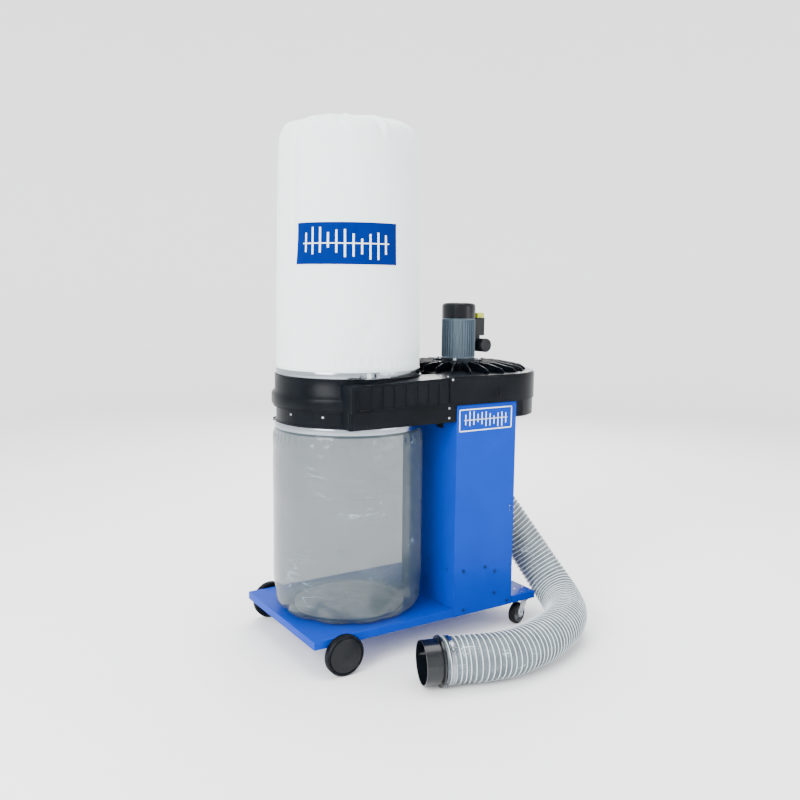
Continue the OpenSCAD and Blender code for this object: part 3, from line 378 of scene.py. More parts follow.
@dataclass(frozen=True)
class Finish:
    """A procedural finish that reads Object coordinates."""

    name: str
    texture: Texture
    color: Color
    roughness: float
    metallic: float = 0.0
    coat: float = 0.0
    specular: float = 0.3
    grain: float = 0.0012
    relief: float = 0.00003
    patch: float = 0.09
    mottle: float = 0.08
    spread: float = 0.08
    alpha: float = 1.0
    streak: float = 1.0

    def _lighter(self, share: float) -> Color:
        """The finish's colour made lighter or darker by a share."""
        return tuple(min(1.0, max(0.0, c * (1 + share) + 0.004 * share)) for c in self.color)

    def material(self) -> bpy.types.Material:
        """Builds the material once and returns it.

        Returns:
            The material of that name.
        """
        title = self.name + "_finish"
        made = bpy.data.materials.get(title)
        if made is not None:
            return made
        made = bpy.data.materials.new(title)
        made.use_nodes = True
        made.node_tree.nodes.clear()
        nodes = NodeMaker(made.node_tree)
        shader = self._shader(nodes)
        surface = {"Surface": Value(nodes, shader.outputs["BSDF"])}
        nodes.make("ShaderNodeOutputMaterial", surface).is_active_output = True
        return made

    def _shader(self, nodes: NodeMaker) -> bpy.types.Node:
        """Adds the shader with its patterns; on film, a painted highlight along the crinkles.

        Args:
            nodes: The maker of the material's tree.

        Returns:
            The Principled BSDF node.
        """
        place = nodes.value("ShaderNodeTexCoord", "Object")
        if self.streak != 1.0:
            stretch = {"Vector": place, "Scale": (1, 1, self.streak)}
            place = nodes.value("ShaderNodeMapping", "Vector", stretch)
        fine = nodes.noise(place, 1 / self.grain, 3.0, 0.6)
        broad = nodes.noise(place, 1 / self.patch, 4.0, 0.55)
        scuff = nodes.noise(place, 5 / self.patch, 6.0, 0.7)
        shade = broad * 0.7 + fine * 0.3
        darker, lighter = self._lighter(-self.mottle), self._lighter(self.mottle)
        color = nodes.blend(shade.step(0.25, 0.75), darker, lighter)
        worn = scuff.step(0.58, 0.72)
        rough = self.roughness + (broad - 0.5) * self.spread * 2 + worn * self.spread * 0.6
        height = fine
        if self.texture is Texture.PAINT:
            height = nodes.noise(place, 260.0, 1.0, 0.4) * 1.5 + fine * 0.3
        elif self.texture is Texture.RUBBER:
            height = fine * 1.2 + scuff * 0.6
        elif self.texture is Texture.FELT:
            cells = {"Vector": place, "Scale": 900.0}
            fibres = nodes.value("ShaderNodeTexVoronoi", "Distance", cells, feature="F1")
            height = fine + fibres * 0.6
        elif self.texture is Texture.FILM:
            flattened = {"Vector": place, "Scale": (1, 1, 6)}
            level = nodes.value("ShaderNodeMapping", "Vector", flattened)
            ridge = nodes.noise(level, 9.0, 1.5, 0.5, Distortion=0.3)
            crease = 1 - ridge.away_from(0.5).step(0.0, 0.016)
            # painted highlight: the film's colour is lightened towards white along the crinkles' crests, standing in
            # for the glints of light on them
            painted_glint = crease * broad.step(0.54, 0.66)
            color = nodes.mix_color(painted_glint * 0.6, color, self._lighter(6.0))
            height = fine * 0.3 + crease * 1.6
        relief = {"Strength": 1.0, "Distance": self.relief, "Height": height}
        bump = nodes.value("ShaderNodeBump", "Normal", relief)
        sockets = {
            "Base Color": color,
            "Roughness": rough,
            "Metallic": self.metallic,
            "Specular IOR Level": self.specular,
            "Coat Weight": self.coat,
            "Coat Roughness": 0.08,
            "Normal": bump,
        }
        if self.alpha < 1:
            sockets["Alpha"] = self.alpha + (broad - 0.5) * 0.12
        if self.texture is Texture.FELT:
            sockets["Sheen Weight"] = 0.25
        return nodes.make("ShaderNodeBsdfPrincipled", sockets)


FINISHES = {
    f.name: f
    for f in (
        Finish(
            "blue_paint", Texture.PAINT, (0.0002, 0.034, 0.34), 0.36, specular=0.05, coat=0.03,
            relief=0.00002, mottle=0.05,
        ),
        Finish("dark_screw", Texture.METAL, (0.004, 0.02, 0.12), 0.35, metallic=0.3, specular=0.2),
        Finish(
            "black_steel", Texture.PAINT, (0.006, 0.007, 0.009), 0.42, specular=0.15, mottle=0.15,
        ),
        Finish(
            "zinc", Texture.METAL, (0.42, 0.44, 0.47), 0.28, metallic=1.0, mottle=0.12, spread=0.1,
        ),
        Finish(
            "wheel_black", Texture.RUBBER, (0.003, 0.004, 0.006), 0.46, specular=0.09, mottle=0.2,
            relief=0.00005,
        ),
        Finish(
            "cap_black", Texture.MOULDED, (0.004, 0.005, 0.007), 0.36, specular=0.2, mottle=0.15,
        ),
        Finish("hub_grey", Texture.MOULDED, (0.10, 0.11, 0.12), 0.4, mottle=0.1),
        Finish(
            "tyre", Texture.RUBBER, (0.004, 0.004, 0.005), 0.6, specular=0.15, mottle=0.2,
            relief=0.00006,
        ),
        Finish(
            "shell_black", Texture.MOULDED, (0.0020, 0.0032, 0.0050), 0.31, specular=0.07,
            grain=0.0009, relief=0.000022, mottle=0.25, spread=0.08,
        ),
        Finish("impeller_grey", Texture.PAINT, (0.12, 0.13, 0.14), 0.45),
        Finish(
            "motor_dark", Texture.PAINT, (0.008, 0.012, 0.018), 0.34, specular=0.2, mottle=0.12,
        ),
        Finish(
            "motor_alu", Texture.PAINT, (0.080, 0.115, 0.150), 0.32, metallic=0.3, mottle=0.10,
            coat=0.15,
        ),
        Finish("winding", Texture.METAL, (0.45, 0.2, 0.08), 0.35, metallic=0.8),
        Finish("rotor_steel", Texture.METAL, (0.5, 0.5, 0.52), 0.3, metallic=1.0, streak=0.1),
        Finish(
            "cowl_black", Texture.PAINT, (0.002, 0.003, 0.005), 0.14, specular=0.18, mottle=0.2,
            spread=0.03,
        ),
        Finish(
            "box_black", Texture.MOULDED, (0.003, 0.004, 0.006), 0.33, specular=0.2, mottle=0.2,
        ),
        Finish("green_plastic", Texture.MOULDED, (0.01, 0.18, 0.04), 0.3),
        Finish("red_plastic", Texture.MOULDED, (0.4, 0.01, 0.008), 0.3),
        Finish("yellow_plastic", Texture.MOULDED, (0.42, 0.47, 0.012), 0.3, coat=0.1),
        Finish(
            "band_steel", Texture.METAL, (0.27, 0.30, 0.33), 0.20, metallic=1.0, mottle=0.08,
            spread=0.07,
        ),
        Finish(
            "filter_cloth", Texture.FELT, (0.76, 0.86, 0.85), 0.88, specular=0.1, grain=0.0016,
            relief=0.00012, mottle=0.025, patch=0.14,
        ),
        Finish(
            "clear_film", Texture.FILM, (0.036, 0.056, 0.070), 0.20, specular=0.5, grain=0.016,
            relief=0.00008, mottle=0.12, alpha=0.68, spread=0.06,
        ),
        Finish(
            "hose_film", Texture.FILM, (0.105, 0.135, 0.155), 0.24, specular=0.4, grain=0.004,
            relief=0.0003, mottle=0.3, alpha=0.9, patch=0.05, spread=0.1,
        ),
        Finish("hose_wire", Texture.MOULDED, (0.62, 0.68, 0.71), 0.33, mottle=0.06),
        Finish(
            "connector_black", Texture.MOULDED, (0.0025, 0.004, 0.006), 0.20, specular=0.35,
            mottle=0.2, coat=0.1,
        ),
        Finish(
            "label_blue", Texture.PRINT, (0.0002, 0.012, 0.13), 0.7, specular=0.03, mottle=0.05,
            relief=0.00004,
        ),
        Finish(
            "label_white", Texture.PRINT, (0.80, 0.88, 0.90), 0.6, specular=0.1, mottle=0.02,
            relief=0.00004,
        ),
        Finish("stitch_thread", Texture.FELT, (0.60, 0.68, 0.68), 0.8, specular=0.1, grain=0.0008),
        Finish(
            "wood_dust", Texture.FELT, (0.42, 0.45, 0.44), 0.95, specular=0.05, grain=0.003,
            relief=0.0008, mottle=0.2, patch=0.05,
        ),
    )
}


# ------------------------------------------------------------------ meshes


def piece(
    name: str, mesh: bpy.types.Mesh, body: str, slot: str, finish: Optional[str] = None
) -> bpy.types.Object:
    """Makes a finished piece that rides on a body.

    Args:
        name: The piece's name.
        mesh: Its mesh, in the row frame.
        body: The CAD body that it moves with.
        slot: The record's material slot.
        finish: The finish, where it isn't the slot's own.

    Returns:
        The new object.
    """
    mesh.name = name
    obj = bpy.data.objects.new(name, mesh)
    bpy.context.scene.collection.objects.link(obj)
    mesh.materials.clear()
    mesh.materials.append(FINISHES[finish or slot].material())
    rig.ride(obj, body)
    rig.slot(obj, slot)
    log.info("%s: %d faces on %s", name, len(mesh.polygons), body)
    return obj


def mesh_from(
    points: np.ndarray, faces: Iterable[Sequence[int]], sharp: float
) -> bpy.types.Mesh:
    """Makes a smooth mesh with sharp edges past an angle.

    Args:
        points: The vertices, one a row.
        faces: The vertex numbers of each face.
        sharp: The angle in degrees past which an edge is sharp.

    Returns:
        The new mesh.
    """
    mesh = bpy.data.meshes.new("mesh")
    mesh.from_pydata(np.asarray(points, float).reshape(-1, 3).tolist(), [], list(faces))
    return smoothed(mesh, sharp)


def smoothed(mesh: bpy.types.Mesh, sharp: float) -> bpy.types.Mesh:
    """Shades a mesh smooth, but for edges sharper than an angle."""
    mesh.polygons.foreach_set("use_smooth", [True] * len(mesh.polygons))
    mesh.set_sharp_from_angle(angle=math.radians(sharp))
    mesh.update()
    return mesh


def grid_faces(
    rows: int, columns: int, closed: bool, first: int = 0
) -> list[tuple[int, int, int, int]]:
    """Quads of a grid whose columns may close in a ring.

    Args:
        rows: The number of rows of vertices.
        columns: The number of vertices in a row.
        closed: Whether the last column joins the first.
        first: The number of the grid's first vertex.

    Returns:
        The faces, whose normals point outwards on a ring that rises anticlockwise.
    """
    faces = []
    for i in range(rows - 1):
        for j in range(columns if closed else columns - 1):
            k = (j + 1) % columns
            a, b = first + i * columns, first + (i + 1) * columns
            faces.append((a + j, a + k, b + k, b + j))
    return faces


def box_mesh(low: Point, high: Point, rounding: float) -> bpy.types.Mesh:
    """A box with rounded edges.

    Args:
        low: The lowest corner.
        high: The highest corner.
        rounding: The radius of its edges.

    Returns:
        The mesh.
    """
    shape = bmesh.new()
    bmesh.ops.create_cube(shape, size=1.0)
    size = Vector(high) - Vector(low)
    middle = (Vector(high) + Vector(low)) / 2
    for v in shape.verts:
        v.co = Vector(v.co[i] * size[i] for i in range(3)) + middle
    edges = list(shape.edges)
    bmesh.ops.bevel(shape, geom=edges, offset=rounding, segments=2, profile=0.5, affect="EDGES")
    mesh = bpy.data.meshes.new("box")
    shape.to_mesh(mesh)
    shape.free()
    return smoothed(mesh, 35)


def joined(meshes: Sequence[bpy.types.Mesh]) -> bpy.types.Mesh:
    """One mesh of several, which are then removed."""
    shape = bmesh.new()
    for mesh in meshes:
        shape.from_mesh(mesh)
        bpy.data.meshes.remove(mesh)
    whole = bpy.data.meshes.new("joined")
    shape.to_mesh(whole)
    shape.free()
    return smoothed(whole, 35)


def smooth_path(points: Sequence[Point], steps: int) -> np.ndarray:
    """A smooth line through points, with a number of steps between each two."""
    p = np.array(points, float)
    line = []
    for i in range(len(p) - 1):
        a, b, c, d = p[max(i - 1, 0)], p[i], p[i + 1], p[min(i + 2, len(p) - 1)]
        for t in np.linspace(0, 1, steps, endpoint=False):
            bend = (2 * a - 5 * b + 4 * c - d) * t**2 + (3 * b - a - 3 * c + d) * t**3
            line.append(0.5 * (2 * b + (c - a) * t + bend))
    line.append(p[-1])
    return np.array(line)


def turned(
    section: Iterable[tuple[float, float]], turns: int, middle: tuple[float, float] = (0.0, 0.0)
) -> list[Point]:
    """Points of a section turned round an upright axis, one ring for each radius and height.

    Args:
        section: The radius and the height of each ring.
        turns: The number of points in a ring.
        middle: The axis's X and Y.

    Returns:
        The points, ring by ring.
    """
    return [
        (middle[0] + r * math.cos(a), middle[1] + r * math.sin(a), z)
        for r, z in section
        for a in np.linspace(0, FULL_TURN, turns, endpoint=False)
    ]


def turned_out(mesh: bpy.types.Mesh) -> bpy.types.Mesh:
    """Turns a closed mesh's faces outwards."""
    shape = bmesh.new()
    shape.from_mesh(mesh)
    bmesh.ops.recalc_face_normals(shape, faces=shape.faces)
    shape.to_mesh(mesh)
    shape.free()
    return mesh


def islands(node: str) -> list[np.ndarray]:
    """Corner points of each loose part of a CAD node.

    Args:
        node: The node's name.

    Returns:
        One array of points for each loose part, ordered by place.
    """
    shape = bmesh.new()
    shape.from_mesh(frame["nodes"][node].data)
    bmesh.ops.remove_doubles(shape, verts=shape.verts, dist=1e-6)
    left = set(shape.verts)
    parts = []
    while left:
        part, front = set(), [left.pop()]
        while front:
            v = front.pop()
            part.add(v)
            near = {e.other_vert(v) for e in v.link_edges} & left
            left -= near
            front.extend(near)
        parts.append(np.array([v.co[:] for v in part]))
    shape.free()
    return sorted(parts, key=lambda c: tuple(np.round(c.mean(0), 4)))


# ------------------------------------------------------------------ geometry nodes


@dataclass
class Instancer:
    """A geometry tree with named inputs, run once to make a plain mesh."""

    name: str
    inputs: dict[str, tuple[str, object]]
    build: Callable[[NodeMaker, dict[str, Value]], Value]

    def mesh(self) -> bpy.types.Mesh:
        """Builds the tree, runs it and returns the result as a plain mesh."""
        tree = bpy.data.node_groups.new(self.name, "GeometryNodeTree")
        tree.interface.new_socket("Geometry", in_out="OUTPUT", socket_type="NodeSocketGeometry")
        sockets = {
            name: tree.interface.new_socket(name, in_out="INPUT", socket_type=kind)
            for name, (kind, _) in self.inputs.items()
        }
        nodes = NodeMaker(tree)
        entry = nodes.make("NodeGroupInput")
        given = {name: Value(nodes, entry.outputs[name]) for name in self.inputs}
        shape = self.build(nodes, given)
        for kind, more in (
            ("GeometryNodeSetShadeSmooth", {"Shade Smooth": True}),
            ("GeometryNodeRealizeInstances", {}),
            ("GeometryNodeSetMaterial", {"Material": given["Material"]}),
        ):
            shape = nodes.value(kind, "Geometry", {"Geometry": shape} | more)
        nodes.make("NodeGroupOutput", {"Geometry": shape})
        host = bpy.data.objects.new(self.name, bpy.data.meshes.new(self.name))
        bpy.context.scene.collection.objects.link(host)
        modifier = host.modifiers.new(self.name, "NODES")
        modifier.node_group = tree
        for name, socket in sockets.items():
            modifier[socket.identifier] = self.inputs[name][1]
        bpy.context.view_layer.update()
        depsgraph = bpy.context.evaluated_depsgraph_get()
        made = bpy.data.meshes.new_from_object(host.evaluated_get(depsgraph))
        bpy.data.objects.remove(host)
        return made


def scatter(
    name: str,
    shape: bpy.types.Mesh,
    places: Sequence[tuple[Vector, Vector]],
    finish: str,
    side: Point = (1, 0, 0),
) -> bpy.types.Mesh:
    """Sets one small shape, which points along +Z, at many places.

    Args:
        name: The name of the tree.
        shape: The mesh that is repeated.
        places: Where each one is, and which way it points.
        finish: The finish of the copies.
        side: Which way the shape's own X points, as nearly as its +Z lets it.

    Returns:
        One mesh of all the copies.
    """
    seats = bpy.data.objects.new(name + "_seats", bpy.data.meshes.new(name + "_seats"))
    seats.data.from_pydata([p[:] for p, _ in places], [], [])
    facing = seats.data.attributes.new("facing", "FLOAT_VECTOR", "POINT")
    facing.data.foreach_set("vector", [c for _, d in places for c in d])
    sample = bpy.data.objects.new(name + "_one", shape)
    for obj in (seats, sample):
        bpy.context.scene.collection.objects.link(obj)

    def build(nodes: NodeMaker, given: dict[str, Value]) -> Value:
        """Puts the sample on each seat and turns it to face outwards."""
        points = nodes.object_geometry(given["Seats"])
        one = nodes.object_geometry(given["Sample"])
        align = "FunctionNodeAlignRotationToVector"
        way = {"Vector": nodes.attribute("facing", "FLOAT_VECTOR")}
        facing_way = nodes.value(align, "Rotation", way, axis="Z")
        sideways = {"Rotation": facing_way, "Vector": given["Side"]}
        turn = nodes.value(align, "Rotation", sideways, axis="X", pivot_axis="Z")
        copies = {"Points": points, "Instance": one, "Rotation": turn, "Scale": (1.0, 1.0, 1.0)}
        return nodes.value("GeometryNodeInstanceOnPoints", "Instances", copies)

    made = Instancer(
        name,
        {
            "Seats": ("NodeSocketObject", seats),
            "Sample": ("NodeSocketObject", sample),
            "Side": ("NodeSocketVector", side),
            "Material": ("NodeSocketMaterial", FINISHES[finish].material()),
        },
        build,
    ).mesh()
    bpy.data.objects.remove(seats)
    bpy.data.objects.remove(sample)
    return smoothed(made, 35)


# ------------------------------------------------------------------ stage


@dataclass(frozen=True)
class Softbox:
    """A soft light: its place and size in metres, and its power in watts."""

    name: str
    place: Point
    size: tuple[float, float]
    power: float


SOFTBOXES = (
    Softbox("key_softbox", (-3.9, -1.7, 2.6), (2.2, 2.8), 330),
    Softbox("fill_softbox", (2.4, -3.8, 1.8), (2.4, 2.4), 60),
    Softbox("top_softbox", (0.3, 0.3, 4.2), (3.4, 3.4), 190),
    Softbox("rear_softbox", (2.4, 3.0, 2.4), (2.0, 2.0), 90),
)


@dataclass
class Studio:
    """Camera, pale floor and soft lights."""

    camera_place: Point = (-1.4657, -2.2734, 1.0924)
    heading: float = 32.53
    tilt: float = 7.38
    roll: float = 0.57
    lens: float = 37.97
    sensor: float = 36.0
    nearest: float = 0.05
    farthest: float = 60.0
    floor_radius: float = 7.0
    floor_height: float = -0.0004
    floor_color: Color = (0.96, 0.962, 0.965)
    backdrop_bend: float = 1.4
    backdrop_top: float = 9.0
    aim: Point = (0.0, 0.0, 0.75)
    world_strength: float = 1.65

    def camera(self) -> None:
        """Sets the camera at the viewing angle."""
        heading, tilt, roll = (math.radians(a) for a in (self.heading, self.tilt, self.roll))
        level = Vector((math.sin(heading), math.cos(heading), 0))
        ahead = level * math.cos(tilt) - Vector((0, 0, math.sin(tilt)))
        upright = level * math.sin(tilt) + Vector((0, 0, math.cos(tilt)))
        aside = Vector((math.cos(heading), -math.sin(heading), 0))
        right = aside * math.cos(roll) + upright * math.sin(roll)
        up = upright * math.cos(roll) - aside * math.sin(roll)
        data = bpy.data.cameras.new("camera")
        data.lens, data.sensor_width = self.lens, self.sensor
        data.clip_start, data.clip_end = self.nearest, self.farthest
        camera = bpy.data.objects.new("camera", data)
        turn = Matrix((right, up, -ahead)).transposed()
        camera.matrix_world = Matrix.Translation(self.camera_place) @ turn.to_4x4()
        bpy.context.scene.collection.objects.link(camera)
        bpy.context.scene.camera = camera

    def floor(self) -> None:
        """Lays a pale floor that rises into a backdrop all round."""
        turns, low, bend = 64, self.floor_height, self.backdrop_bend
        flat = self.floor_radius * 0.8
        rings = [(0.02, low), (self.floor_radius * 0.5, low), (flat, low)]
        rings += [
            (flat + bend * math.sin(a), bend - bend * math.cos(a) + low)
            for a in np.linspace(0.15, math.pi / 2, 10)
        ]
        rings += [(rings[-1][0], self.backdrop_top)]
        faces = grid_faces(len(rings), turns, True) + [tuple(range(turns))]
        mesh = mesh_from(np.array(turned(rings, turns)), faces, 80)
        material = bpy.data.materials.new("studio_floor")
        material.use_nodes = True
        shader = material.node_tree.nodes["Principled BSDF"]
        shader.inputs["Base Color"].default_value = (*self.floor_color, 1)
        shader.inputs["Roughness"].default_value = 0.9
        mesh.materials.append(material)
        floor = bpy.data.objects.new("studio_floor", mesh)
        bpy.context.scene.collection.objects.link(floor)
        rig.stage(floor)

    def light(self, box: Softbox) -> None:
        """Adds a soft light that points at the machine."""
        data = bpy.data.lights.new(box.name, "AREA")
        data.shape, data.energy = "RECTANGLE", box.power
        data.size, data.size_y = box.size
        lamp = bpy.data.objects.new(box.name, data)
        lamp.location = box.place
        lamp.rotation_mode = "QUATERNION"
        lamp.rotation_quaternion = (Vector(self.aim) - Vector(box.place)).to_track_quat("-Z", "Y")
        bpy.context.scene.collection.objects.link(lamp)

    def build(self) -> None:
        """Makes the camera, the floor and the lights."""
        self.camera()
        self.floor()
        for box in SOFTBOXES:
            self.light(box)
        world = bpy.data.worlds.new("studio_world")
        world.use_nodes = True
        background = world.node_tree.nodes["Background"].inputs
        background["Color"].default_value = (1, 1, 1, 1)
        background["Strength"].default_value = self.world_strength
        bpy.context.scene.world = world


# ------------------------------------------------------------------ suction hose


@dataclass
class SuctionHose:
    """A thin-walled hose on a wire helix, from the fan's inlet to the free connector."""

    fan_x: float = 0.2125
    connector_turn: float = -18.0
    connector_mouth: Point = (-0.2145, -0.436, 0.0715)
    crest_radius: float = 0.0655
    dip: float = 0.0034
    pitch: float = 0.0150
    wire_radius: float = 0.0014
    nominal_bore: float = 0.12
    steps: int = 10
    route: list[Point] = field(default_factory=list)

    def on_connector(self, distance: float) -> Point:
        """A point on the connector's axis, at a distance from its mouth."""
        turn = math.radians(self.connector_turn)
        x, y, z = self.connector_mouth
        return (x + distance * math.cos(turn), y + distance * math.sin(turn), z)

    def __post_init__(self) -> None:
        """Lists the route's points."""
        self.route = [
            (self.fan_x, 0, 0.690), (self.fan_x, 0, 0.645), (self.fan_x + 0.001, 0, 0.610),
            (0.224, -0.003, 0.570), (0.241, -0.008, 0.530), (0.264, -0.018, 0.490),
            (0.293, -0.033, 0.445), (0.325, -0.053, 0.398), (0.352, -0.073, 0.350),
            (0.375, -0.094, 0.308), (0.397, -0.118, 0.264), (0.417, -0.146, 0.220),
            (0.432, -0.178, 0.178), (0.441, -0.214, 0.140), (0.443, -0.254, 0.108),
            (0.434, -0.297, 0.086), (0.415, -0.337, 0.074), (0.387, -0.373, 0.069),
            (0.345, -0.409, 0.068), (0.295, -0.440, 0.068), (0.236, -0.467, 0.068),
            (0.177, -0.487, 0.068), (0.115, -0.500, 0.068), (0.052, -0.506, 0.068),
            (-0.005, -0.501, 0.069), (-0.058, -0.489, 0.071),
            self.on_connector(0.112), self.on_connector(0.058),
        ]

    def _line(self, path: np.ndarray) -> bpy.types.Object:
        """A curve object along the path, for the trees to follow."""
        data = bpy.data.curves.new("hose_line", "CURVE")
        data.dimensions = "3D"
        spline = data.splines.new("POLY")
        spline.points.add(len(path) - 1)
        spline.points.foreach_set("co", np.c_[path, np.ones(len(path))].ravel())
        line = bpy.data.objects.new("hose_line", data)
        bpy.context.scene.collection.objects.link(line)
        return line

    def _frame_at(
        self, nodes: NodeMaker, line: Value, length: Value
    ) -> tuple[Value, Value, Value]:
        """The line's place and its two side directions at a length along it."""
        sockets = {"Curves": line, "Length": length}
        sample = nodes.make("GeometryNodeSampleCurve", sockets, mode="LENGTH")
        middle, ahead, side = (
            Value(nodes, sample.outputs[name]) for name in ("Position", "Tangent", "Normal")
        )
        cross = nodes.make("ShaderNodeVectorMath", {0: ahead, 1: side}, operation="CROSS_PRODUCT")
        return middle, side, Value(nodes, cross.outputs[0])

    def _dot(self, nodes: NodeMaker, a: Value, b: Value) -> Value:
        """The dot product of two vectors."""
        node = nodes.make("ShaderNodeVectorMath", {0: a, 1: b}, operation="DOT_PRODUCT")
        return Value(nodes, node.outputs["Value"])

    def _skin(self, nodes: NodeMaker, given: dict[str, Value]) -> Value:
        """Sweeps the film along the line and lets it sink between the wire's turns."""
        line = nodes.object_geometry(given["Line"])
        spacing = {"Curve": line, "Length": given["Step"]}
        dense = nodes.value("GeometryNodeResampleCurve", "Curve", spacing, mode="LENGTH")
        along = nodes.value("GeometryNodeSplineParameter", "Length")
        marked = nodes.store(dense, "along", along)
        circle = {"Resolution": 56, "Radius": given["Radius"]}
        ring = nodes.value("GeometryNodeCurvePrimitiveCircle", "Curve", circle)
        swept = {"Curve": marked, "Profile Curve": ring}
        tube = nodes.value("GeometryNodeCurveToMesh", "Mesh", swept)
        length = nodes.attribute("along", "FLOAT")
        middle, side, other = self._frame_at(nodes, dense, length)
        place = nodes.value("GeometryNodeInputPosition", "Position")
        outward = nodes.value(
            "ShaderNodeVectorMath", "Vector", {0: place - middle}, operation="NORMALIZE"
        )
        turn = nodes.make(
            "ShaderNodeMath",
            {0: self._dot(nodes, outward, other), 1: self._dot(nodes, outward, side)},
            operation="ARCTAN2",
        )
        phase = length / given["Pitch"] * FULL_TURN - Value(nodes, turn.outputs[0])
        sunk = ((1 - phase.cosine()) * 0.5).power(0.7)
        inwards = {"Geometry": tube, "Offset": outward * (sunk * -1 * given["Dip"])}
        return nodes.value("GeometryNodeSetPosition", "Geometry", inwards)

    def _wire(self, nodes: NodeMaker, given: dict[str, Value]) -> Value:
        """Winds the coated wire round the line."""
        line = nodes.object_geometry(given["Line"])
        whole = nodes.value("GeometryNodeCurveLength", "Length", {"Curve": line})
        count = whole / given["Step"]
        beads = nodes.value("GeometryNodeMeshLine", "Mesh", {"Count": count}, mode="OFFSET")
        index = nodes.value("GeometryNodeInputIndex", "Index")
        length = index * given["Step"]
        middle, side, other = self._frame_at(nodes, line, length)
        angle = length / given["Pitch"] * FULL_TURN
        radius = given["Radius"]
        place = middle + side * (angle.cosine() * radius) + other * (angle.sine() * radius)
        moved = {"Geometry": beads, "Position": place}
        wound = nodes.value("GeometryNodeSetPosition", "Geometry", moved)
        helix = nodes.value("GeometryNodeMeshToCurve", "Curve", {"Mesh": wound})
        circle = {"Resolution": 6, "Radius": given["Thickness"]}
        ring = nodes.value("GeometryNodeCurvePrimitiveCircle", "Curve", circle)
        swept = {"Curve": helix, "Profile Curve": ring, "Fill Caps": True}
        return nodes.value("GeometryNodeCurveToMesh", "Mesh", swept)

    def build(self) -> None:
        path = smooth_path(self.route, self.steps)
        line = self._line(path)
        made = []
        thick = {"Thickness": self.wire_radius}
        for name, finish, step, more, build in (
            ("hose_skin", "hose_film", self.pitch / 8, {"Dip": self.dip}, self._skin),
            ("hose_wire", "hose_wire", self.pitch / 26, thick, self._wire),
        ):
            numbers = {"Pitch": self.pitch, "Radius": self.crest_radius, "Step": step} | more
            inputs = {socket: ("NodeSocketFloat", number) for socket, number in numbers.items()}
            inputs["Line"] = ("NodeSocketObject", line)
            inputs["Material"] = ("NodeSocketMaterial", FINISHES[finish].material())
            made.append(Instancer(name, inputs, build).mesh())
        skin, wire = made
        bpy.data.objects.remove(line)
        hose = piece("suction_hose", skin, "frame", "hose_film")
        helix = piece("suction_hose_wire", wire, "frame", "hose_film", "hose_wire")
        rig.replaces(hose, "hose")
        length = float(np.linalg.norm(np.diff(path, axis=0), axis=1).sum())
        ends = [bpy.data.objects[name] for name in ("hose_connector_round", "hose_clamps_round")]
        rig.cord(
            hose,
            exit=self.route[0],
            length=round(length, 3),
            diameter=self.nominal_bore,
            far_end="connector",
            stiffness="stiff",
            lay="loose",
            path=[tuple(p) for p in path],
            with_pieces=[helix, *ends],
        )


# ------------------------------------------------------------------ rounded copies of CAD nodes


@dataclass
class RoundedNode:
    """A copy of a CAD node with its long edges rounded and its round faces smooth."""

    node: str
    radius: float = 0.0008
    shortest: float = 0.004
    flat_width: float = 0.014
    corner_angle: float = 35.0

    def build(self) -> None:
        """Makes the copy, which stands for the node."""
        source = frame["nodes"][self.node]
        record = frame["record"]
        slot = next(s["material_slot"] for s in record["subparts"] if s["node"] == self.node)
        bodies = record["behaviour"]["bodies"]
        body = next(name for name, nodes in bodies.items() if self.node in nodes)
        shape = bmesh.new()
        shape.from_mesh(source.data)
        bmesh.ops.remove_doubles(shape, verts=shape.verts, dist=2e-6)
        bmesh.ops.dissolve_limit(
            shape, angle_limit=math.radians(0.3), verts=shape.verts, edges=shape.edges
        )
        if self.radius:
            self._round(shape)
        mesh = bpy.data.meshes.new(self.node)
        shape.to_mesh(mesh)
        shape.free()
        smoothed(mesh, 32)
        for face in mesh.polygons:
            corners = [mesh.vertices[v].co for v in face.vertices]
            longest = max((a - b).length for a, b in zip(corners, corners[1:] + corners[:1]))
            if face.area / longest > self.flat_width:
                face.use_smooth = False
        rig.replaces(piece(self.node + "_round", mesh, body, slot), self.node)

    def _round(self, shape: bmesh.types.BMesh) -> None:
        """Rounds the sharp edges that are long enough to take it."""
        chosen = []
        for edge in shape.edges:
            if len(edge.link_faces) != 2 or edge.calc_length() < self.shortest:
                continue
            if edge.calc_face_angle(0) > math.radians(self.corner_angle):
                chosen.append(edge)
        if chosen:
            bmesh.ops.bevel(
                shape, geom=chosen, offset=self.radius, segments=2, profile=0.5, affect="EDGES",
                clamp_overlap=False, loop_slide=True,
            )


ROUNDED = {
    "base_plate": 0.0009, "column": 0.0007, "axle_brackets": 0.0006, "ring_bracket": 0.0005,
    "column_brackets": 0.0005, "ring_upper": 0.0, "ring_lower": 0.0, "fan_housing": 0.0,
    "fan_cover": 0.0, "inlet_spigot": 0.0, "terminal_box": 0.0012, "switch_panel": 0.0004,
    "flip_cover": 0.0012, "cable_gland": 0.0004, "capacitor": 0.0012, "end_shield": 0.0006,
    "motor_plate": 0.0006, "fan_cowl": 0.0, "top_shield": 0.0, "motor_screws": 0.0003,
    "hose_connector": 0.0008, "hose_clamps": 0.0003, "wheel_front": 0.0, "wheel_rear": 0.0,
    "hubcap_front": 0.0, "hubcap_rear": 0.0, "axle": 0.0008, "axle_retainers": 0.0003,
    "caster_plates": 0.0004, "caster_bolts": 0.0003, "caster_fork_front": 0.0005,
    "caster_fork_rear": 0.0005, "caster_axle_front": 0.0004, "caster_axle_rear": 0.0004,
    "caster_hub_front": 0.0, "caster_hub_rear": 0.0, "caster_tyre_front": 0.0,
    "caster_tyre_rear": 0.0, "upper_band": 0.0003, "upper_lever": 0.0002, "lower_band": 0.0003,
    "lower_lever": 0.0002, "start_button": 0.0008, "stop_button": 0.0008, "impeller": 0.0,
    "impeller_bolt": 0.0003, "stator": 0.0, "rotor": 0.0, "motor_shaft": 0.0, "bearings": 0.0,
    "cooling_fan": 0.0,
}


